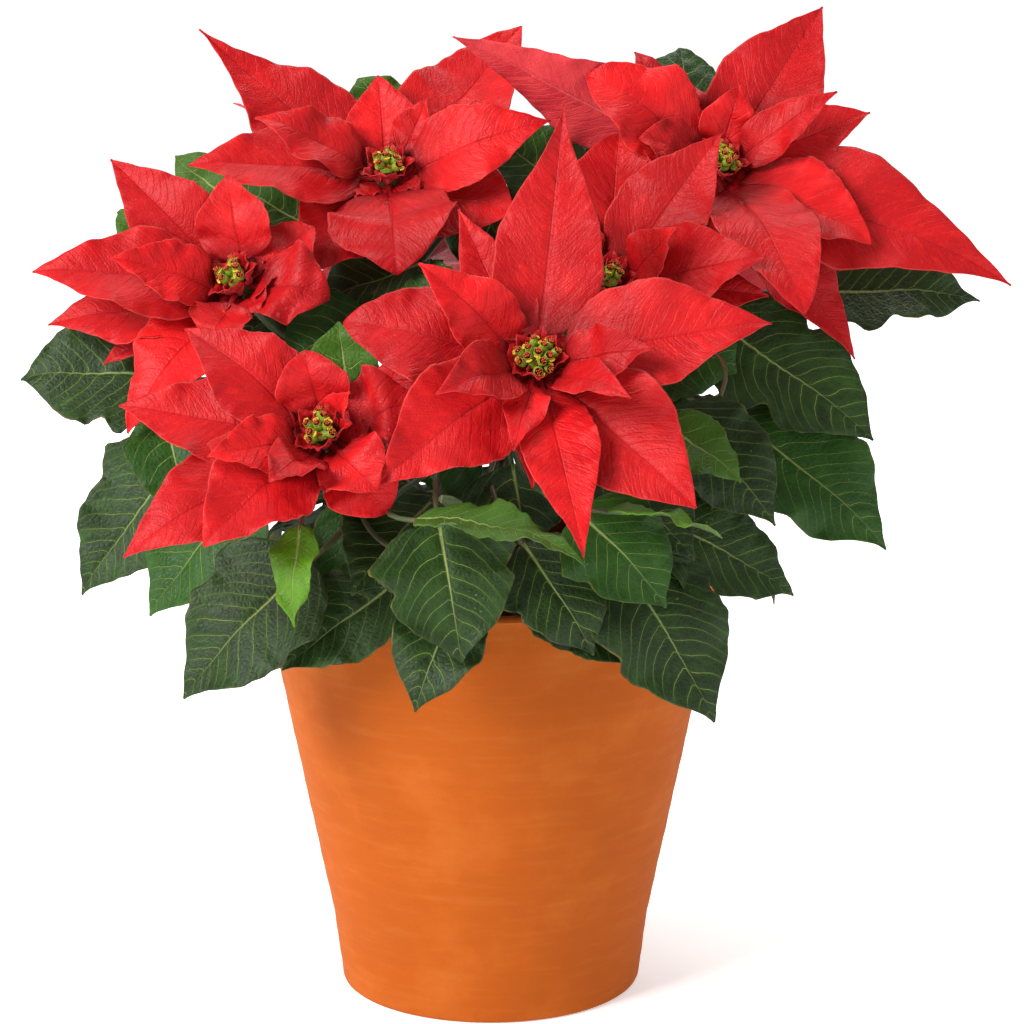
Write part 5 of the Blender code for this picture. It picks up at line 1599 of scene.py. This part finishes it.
def urn_mesh(finish):
    """One cup: a green urn with a puckered mouth, and its inside marked."""
    mesh = turned("urn", URN_OUTSIDE + URN_INSIDE, URN_SIDES, finish,
                  lambda turn, z: 0.1 * math.sin(5 * turn) * z / 5)
    first_inside = 1 + URN_SIDES * (len(URN_OUTSIDE) - 1)
    return marked(mesh, "inside", [float(i >= first_inside) for i in range(len(mesh.vertices))])


def gland_mesh(finish):
    """The yellow lipped gland on a cup's shoulder: a kidney-shaped ring, and the bowl that it holds."""
    work = bmesh.new()
    steps, sides = 14, 8
    corners = []
    for step in range(steps):
        turn = 2 * math.pi * step / steps
        dent = 1 - 0.28 * math.exp(-((turn - math.pi) / 0.5) ** 2)
        for side in range(sides):
            swing = 2 * math.pi * side / sides
            out = 1.0 + 0.42 * math.cos(swing)
            x, y = out * math.cos(turn) * 0.56 * dent, out * math.sin(turn)
            z = 0.36 * math.sin(swing) + 0.072 * y * y + 0.35 * x
            corners.append(work.verts.new(Vector((GLAND_OUT + x, y, 4.3 + z)) * MM))
    for step in range(steps):
        here, there = step * sides, (step + 1) % steps * sides
        for side in range(sides):
            after = (side + 1) % sides
            work.faces.new([corners[i] for i in (here + side, there + side, there + after, here + after)])
    bmesh.ops.recalc_face_normals(work, faces=work.faces)
    bowl = Matrix.Translation(Vector((GLAND_OUT, 0.0, 4.1)) * MM) @ Matrix.Diagonal((0.6, 0.95, 0.5, 1.0))
    bmesh.ops.create_uvsphere(work, u_segments=10, v_segments=6, radius=0.9 * MM, matrix=bowl)
    mesh = from_work(work, "gland", finish)
    return marked(mesh, "inside", [0.0] * len(mesh.vertices))


def stamen_mesh(finish):
    """Seven red threads out of a cup's mouth, each with an orange-red head, which is marked."""
    work = bmesh.new()
    for number in range(STAMENS):
        lean = at_bearing(0.25 + 0.08 * number, number * GOLDEN_TURN, 0.0)
        foot = SKY * 3.4 + lean * 0.5
        top = SKY * (6.0 + 0.35 * (number % 3)) + lean * 1.8
        along = (top - foot).normalized().to_track_quat("Z", "Y").to_matrix().to_4x4()
        bmesh.ops.create_cone(work, cap_ends=True, segments=5, radius1=0.22 * MM, radius2=0.17 * MM,
                              depth=(top - foot).length * MM,
                              matrix=Matrix.Translation((foot + top) / 2 * MM) @ along)
        bmesh.ops.create_icosphere(work, subdivisions=1, radius=0.33 * MM,
                                   matrix=Matrix.Translation(top * MM))
    mesh = from_work(work, "stamens", finish)
    return marked(mesh, "inside", [float(vertex.co.z > STAMEN_HEADS_FROM * MM) for vertex in mesh.vertices])


HEART_RINGS = {
    "front": ((5, 3.3, 0.35, 0.0), (7, 5.9, 0.7, -1.4)),
    "upper_right": ((5, 3.2, 0.4, 0.0), (3, 5.4, 0.7, -1.2)),
    "upper_left": ((4, 3.0, 0.4, 0.0), (2, 5.0, 0.7, -1.2)),
    "lower_left": ((4, 3.0, 0.4, 0.0), (3, 5.0, 0.7, -1.2)),
    "left": ((4, 3.0, 0.4, 0.0), (2, 5.0, 0.7, -1.2)),
    "middle_right": ((4, 2.8, 0.4, -0.4),),
    "back_left": ((5, 3.3, 0.35, 0.0), (5, 5.8, 0.7, -1.4)),
    "back_right": ((5, 3.3, 0.35, 0.0), (5, 5.8, 0.7, -1.4)),
}


def cup_spots(place):
    """Foot and lean of each cup of a heart: one in the middle and rings round it."""
    seat = place.centre + place.axis * (CORE_ABOVE + GAP + 0.6)
    yield seat + place.axis * 0.6, place.axis
    for count, radius, lean, rise in HEART_RINGS[place.name]:
        for number in range(count):
            odd = number % 2
            radial = around(place, 2 * math.pi * (number + 0.3 * odd) / count + 0.3 * radius)
            foot = seat + radial * radius + place.axis * (rise + 0.7 * odd)
            yield foot, (place.axis + radial * lean).normalized()


def scale_mesh(finish):
    """A tiny pointed bractlet that stands between the cups."""
    work = bmesh.new()
    section = ((0.15, -1), (0.3, 0), (0.15, 1), (-0.15, 1), (-0.05, 0), (-0.15, -1))
    rings = [[work.verts.new(Vector((0.09 * height ** 1.6 + x, y * half, height)) * MM) for x, y in section]
             for height, half in ((0.0, 0.7), (1.6, 1.5), (3.4, 1.1), (5.0, 0.25))]
    for low, high in zip(rings, rings[1:]):
        for side in range(len(section)):
            after = (side + 1) % len(section)
            work.faces.new((low[side], low[after], high[after], high[side]))
    work.faces.new(list(reversed(rings[0])))
    work.faces.new(rings[-1])
    bmesh.ops.recalc_face_normals(work, faces=work.faces)
    return from_work(work, "bractlet", finish)


def bractlet_spots(place):
    """Foot and lean of each bractlet of a heart, on a golden-angle spiral."""
    for number in range(BRACTLET_COUNT):
        radial = around(place, number * GOLDEN_TURN)
        foot = place.centre + place.axis * 2.4 + radial * (2.4 + 0.42 * number)
        yield foot, (place.axis + radial * (0.25 + 0.06 * number)).normalized()


def make_hearts(settings):
    """The cluster of cups in each bloom, grown on its spots."""
    green = waxy_skin("waxy_green_cup", "#6E8420", "#A8A438", "#74100E", gloss=0.42)
    yellow = waxy_skin("glossy_yellow_gland", "#B8A018", "#D8B838", "#A8700C", gloss=0.25)
    red = waxy_skin("red_thread_yellow_head", "#A81410", "#8C100C", "#B8541A", gloss=0.5)
    scale = waxy_skin("small_red_bractlet", "#A4141A", "#C03030", "#7A8A34", gloss=0.5)
    kinds = ((urn_mesh(green), cup_spots), (gland_mesh(yellow), cup_spots), (stamen_mesh(red), cup_spots),
             (scale_mesh(scale), bractlet_spots))
    for number, place in enumerate(BLOOMS):
        seat = place.centre + place.axis * (CORE_ABOVE + GAP)
        disc = [seat - place.axis * 0.2, seat + place.axis * 1.6]
        parts = [stem_mesh("seat", [(disc, [5.6, 4.8])], green, sides=16, bark_height=0.3, bark_size=2.0)]
        for template, spots in kinds:
            parts.append(grown("heart", spot_mesh(list(spots(place))), cluster_tree, {
                "Template": template, "Smallest": 0.88 * settings.size, "Largest": 1.06 * settings.size,
                "Seed": FIXED_SEED + number, "Finish": template.materials[0]}))
        name = "heart_" + place.name
        add_piece(name, joined(name, parts), "cyathium", "cyathia_" + place.name)


def make_stage(settings):
    """A pale floor, soft lights from the left and above, and the camera."""
    floor = put_in_scene("pale_floor", turned("pale_floor", [(0.0, 0.0), (FLOOR_RADIUS, 0.0)], 96,
                                              floor_skin(settings)))
    world = bpy.data.worlds.new("soft_room")
    world.use_nodes = True
    add = partial(add_node, world.node_tree)
    rise = add("ShaderNodeSeparateXYZ", {0: add("ShaderNodeTexCoord", give="Generated")}, "Z")
    feed(world.node_tree.nodes["Background"], {
        "Color": paint("#FFFFFF"), "Strength": share(add, rise, 0.1, 0.2, settings.room, BACKDROP_GLOW)})
    scene = bpy.context.scene
    scene.world = world
    for name, power, place, size in LAMPS:
        data = bpy.data.lights.new(name, "AREA")
        data.energy = getattr(settings, power)
        data.size = size
        lamp = put_in_scene(name, data)
        lamp.location = place
        aim = LAMPS_AIM - lamp.location
        lamp.rotation_euler = aim.to_track_quat("-Z", "Y").to_euler()
    data = bpy.data.cameras.new("camera")
    data.sensor_width = SENSOR_WIDTH
    data.lens = SENSOR_WIDTH * EYE_DISTANCE * MM / (PIXEL_SIZE * MM * PICTURE_WIDTH)
    camera = put_in_scene("camera", data)
    camera.location = (VIEW_CENTRE + TOWARD * EYE_DISTANCE) * MM
    camera.rotation_euler = (-TOWARD).to_track_quat("-Z", "Y").to_euler()
    scene.camera = camera
    scene.view_settings.view_transform = "Standard"


class PotSettings(bpy.types.PropertyGroup):
    """The clay of the pot."""

    clay: bpy.props.FloatVectorProperty(
        name="Clay", description="Colour of the fired clay", subtype="COLOR", size=3,
        min=0.0, max=1.0, default=linear("#A84F0B"))


class PeatSettings(bpy.types.PropertyGroup):
    """What lies on the peat."""

    crumbs: bpy.props.FloatProperty(
        name="Crumbs", description="Loose crumbs for each square metre of peat", min=0.0,
        default=26000.0)
    perlite: bpy.props.FloatProperty(
        name="Perlite", description="White grains for each square metre of peat", min=0.0,
        default=3200.0)


class LeafSettings(bpy.types.PropertyGroup):
    """Shape and colour of the green leaves."""

    thickness: bpy.props.FloatProperty(
        name="Thickness", description="Thickness of a leaf past its stalk", unit="LENGTH",
        subtype="DISTANCE", default=0.00055, precision=5)
    frill: bpy.props.FloatProperty(
        name="Frill", description="Height of the waves along a leaf's edge", unit="LENGTH",
        subtype="DISTANCE", default=0.0009, precision=5)
    puff: bpy.props.FloatProperty(
        name="Puff", description="How far a leaf bulges between its side veins", unit="LENGTH",
        subtype="DISTANCE", default=0.0007, precision=5)
    midrib: bpy.props.FloatProperty(
        name="Midrib", description="Depth of the groove over a leaf's midrib", unit="LENGTH",
        subtype="DISTANCE", default=0.0008, precision=5)
    dark: bpy.props.FloatVectorProperty(
        name="Dark green", description="Colour of a leaf's darker patches", subtype="COLOR", size=3,
        min=0.0, max=1.0, default=linear("#1B300C"))
    light: bpy.props.FloatVectorProperty(
        name="Light green", description="Colour of a leaf's lighter patches", subtype="COLOR", size=3,
        min=0.0, max=1.0, default=linear("#2A4614"))


class BractSettings(bpy.types.PropertyGroup):
    """Shape and colour of the red bracts."""

    thickness: bpy.props.FloatProperty(
        name="Thickness", description="Thickness of a bract past its neck", unit="LENGTH",
        subtype="DISTANCE", default=0.0005, precision=5)
    frill: bpy.props.FloatProperty(
        name="Frill", description="Height of the waves along a bract's edge", unit="LENGTH",
        subtype="DISTANCE", default=0.0009, precision=5)
    puff: bpy.props.FloatProperty(
        name="Puff", description="How far a bract bulges between its side veins", unit="LENGTH",
        subtype="DISTANCE", default=0.00026, precision=5)
    midrib: bpy.props.FloatProperty(
        name="Midrib", description="Depth of the groove over a bract's midrib", unit="LENGTH",
        subtype="DISTANCE", default=0.0008, precision=5)
    bright: bpy.props.FloatVectorProperty(
        name="Bright red", description="Colour of a bract's brighter patches", subtype="COLOR", size=3,
        min=0.0, max=1.0, default=linear("#D01618"))
    deep: bpy.props.FloatVectorProperty(
        name="Deep red", description="Colour of a bract's deeper patches", subtype="COLOR", size=3,
        min=0.0, max=1.0, default=linear("#B20B11"))


class HeartSettings(bpy.types.PropertyGroup):
    """The cups in the hearts of the blooms."""

    size: bpy.props.FloatProperty(
        name="Cup size", description="Size of a cup, where 1 is about 5 mm high", min=0.5, max=1.5,
        default=1.0)


class StageSettings(bpy.types.PropertyGroup):
    """Floor and lights."""

    table: bpy.props.FloatVectorProperty(
        name="Table", description="Colour of the floor", subtype="COLOR", size=3, min=0.0, max=1.0,
        default=linear("#F8F8F7"))
    # The floor's own glow near the plant: painted light, not a lamp behind it
    glow: bpy.props.FloatProperty(
        name="Glow", description="How strongly the floor is lit from behind", min=0.0, default=0.4)
    room: bpy.props.FloatProperty(
        name="Room light", description="Strength of the even light all round", min=0.0, default=0.36)
    key: bpy.props.FloatProperty(
        name="Window", description="Power of the large soft light from the left", unit="POWER",
        min=0.0, default=100.0)
    fill: bpy.props.FloatProperty(
        name="Fill", description="Power of the soft light from the right", unit="POWER", min=0.0,
        default=11.0)
    top: bpy.props.FloatProperty(
        name="Top", description="Power of the soft light from above and behind", unit="POWER",
        min=0.0, default=24.0)


class POINSETTIA_OT_stage(bpy.types.Operator):
    """Make the floor, the lights and the camera"""

    bl_idname = "poinsettia.stage"
    bl_label = "Make stage"

    def execute(self, context):
        make_stage(context.scene.poinsettia_stage)
        return {"FINISHED"}


class POINSETTIA_OT_pot(bpy.types.Operator):
    """Turn the terracotta pot and drill its drain holes"""

    bl_idname = "poinsettia.pot"
    bl_label = "Make pot"

    def execute(self, context):
        make_pot(context.scene.poinsettia_pot)
        return {"FINISHED"}


class POINSETTIA_OT_peat(bpy.types.Operator):
    """Fill the pot with peat, with crumbs and perlite on it"""

    bl_idname = "poinsettia.peat"
    bl_label = "Make peat"

    def execute(self, context):
        make_peat(context.scene.poinsettia_peat)
        return {"FINISHED"}


class POINSETTIA_OT_stems(bpy.types.Operator):
    """Grow the trunks, branches and leaf stalks"""

    bl_idname = "poinsettia.stems"
    bl_label = "Make stems"

    def execute(self, context):
        make_stems(placed_blades())
        return {"FINISHED"}


class POINSETTIA_OT_leaves(bpy.types.Operator):
    """Grow the green leaves of the three plants"""

    bl_idname = "poinsettia.leaves"
    bl_label = "Make leaves"

    def execute(self, context):
        make_leaves(context.scene.poinsettia_leaves, placed_blades())
        return {"FINISHED"}


class POINSETTIA_OT_bracts(bpy.types.Operator):
    """Grow the red bracts of the eight blooms"""

    bl_idname = "poinsettia.bracts"
    bl_label = "Make bracts"

    def execute(self, context):
        make_bracts(context.scene.poinsettia_bracts, placed_blades())
        return {"FINISHED"}


class POINSETTIA_OT_hearts(bpy.types.Operator):
    """Set the cups, glands, threads and bractlets in the hearts of the blooms"""

    bl_idname = "poinsettia.hearts"
    bl_label = "Make hearts"

    def execute(self, context):
        make_hearts(context.scene.poinsettia_hearts)
        return {"FINISHED"}


class POINSETTIA_PT_parts(bpy.types.Panel):
    """Lists what the plant is made of"""

    bl_idname = "POINSETTIA_PT_parts"
    bl_label = "Poinsettia"
    bl_space_type = "VIEW_3D"
    bl_region_type = "UI"
    bl_category = "Poinsettia"

    def draw(self, context):
        for settings in SETTINGS:
            box = self.layout.box()
            group = getattr(context.scene, settings)
            for name in group.__annotations__:
                box.prop(group, name)
        for operator in OPERATORS:
            self.layout.operator(operator.bl_idname)


SETTINGS = {
    "poinsettia_pot": PotSettings,
    "poinsettia_peat": PeatSettings,
    "poinsettia_leaves": LeafSettings,
    "poinsettia_bracts": BractSettings,
    "poinsettia_hearts": HeartSettings,
    "poinsettia_stage": StageSettings,
}
OPERATORS = (POINSETTIA_OT_stage, POINSETTIA_OT_pot, POINSETTIA_OT_peat, POINSETTIA_OT_stems,
             POINSETTIA_OT_leaves, POINSETTIA_OT_bracts, POINSETTIA_OT_hearts)


def register():
    for group in (*SETTINGS.values(), *OPERATORS, POINSETTIA_PT_parts):
        bpy.utils.register_class(group)
    for name, group in SETTINGS.items():
        setattr(bpy.types.Scene, name, bpy.props.PointerProperty(type=group))


def unregister():
    for name in SETTINGS:
        delattr(bpy.types.Scene, name)
    for group in (POINSETTIA_PT_parts, *reversed(OPERATORS), *reversed(SETTINGS.values())):
        bpy.utils.unregister_class(group)


def main():
    register()
    bpy.ops.poinsettia.stage()
    bpy.ops.poinsettia.pot()
    bpy.ops.poinsettia.peat()
    bpy.ops.poinsettia.stems()
    bpy.ops.poinsettia.leaves()
    bpy.ops.poinsettia.bracts()
    bpy.ops.poinsettia.hearts()


if __name__ == "__main__":
    main()
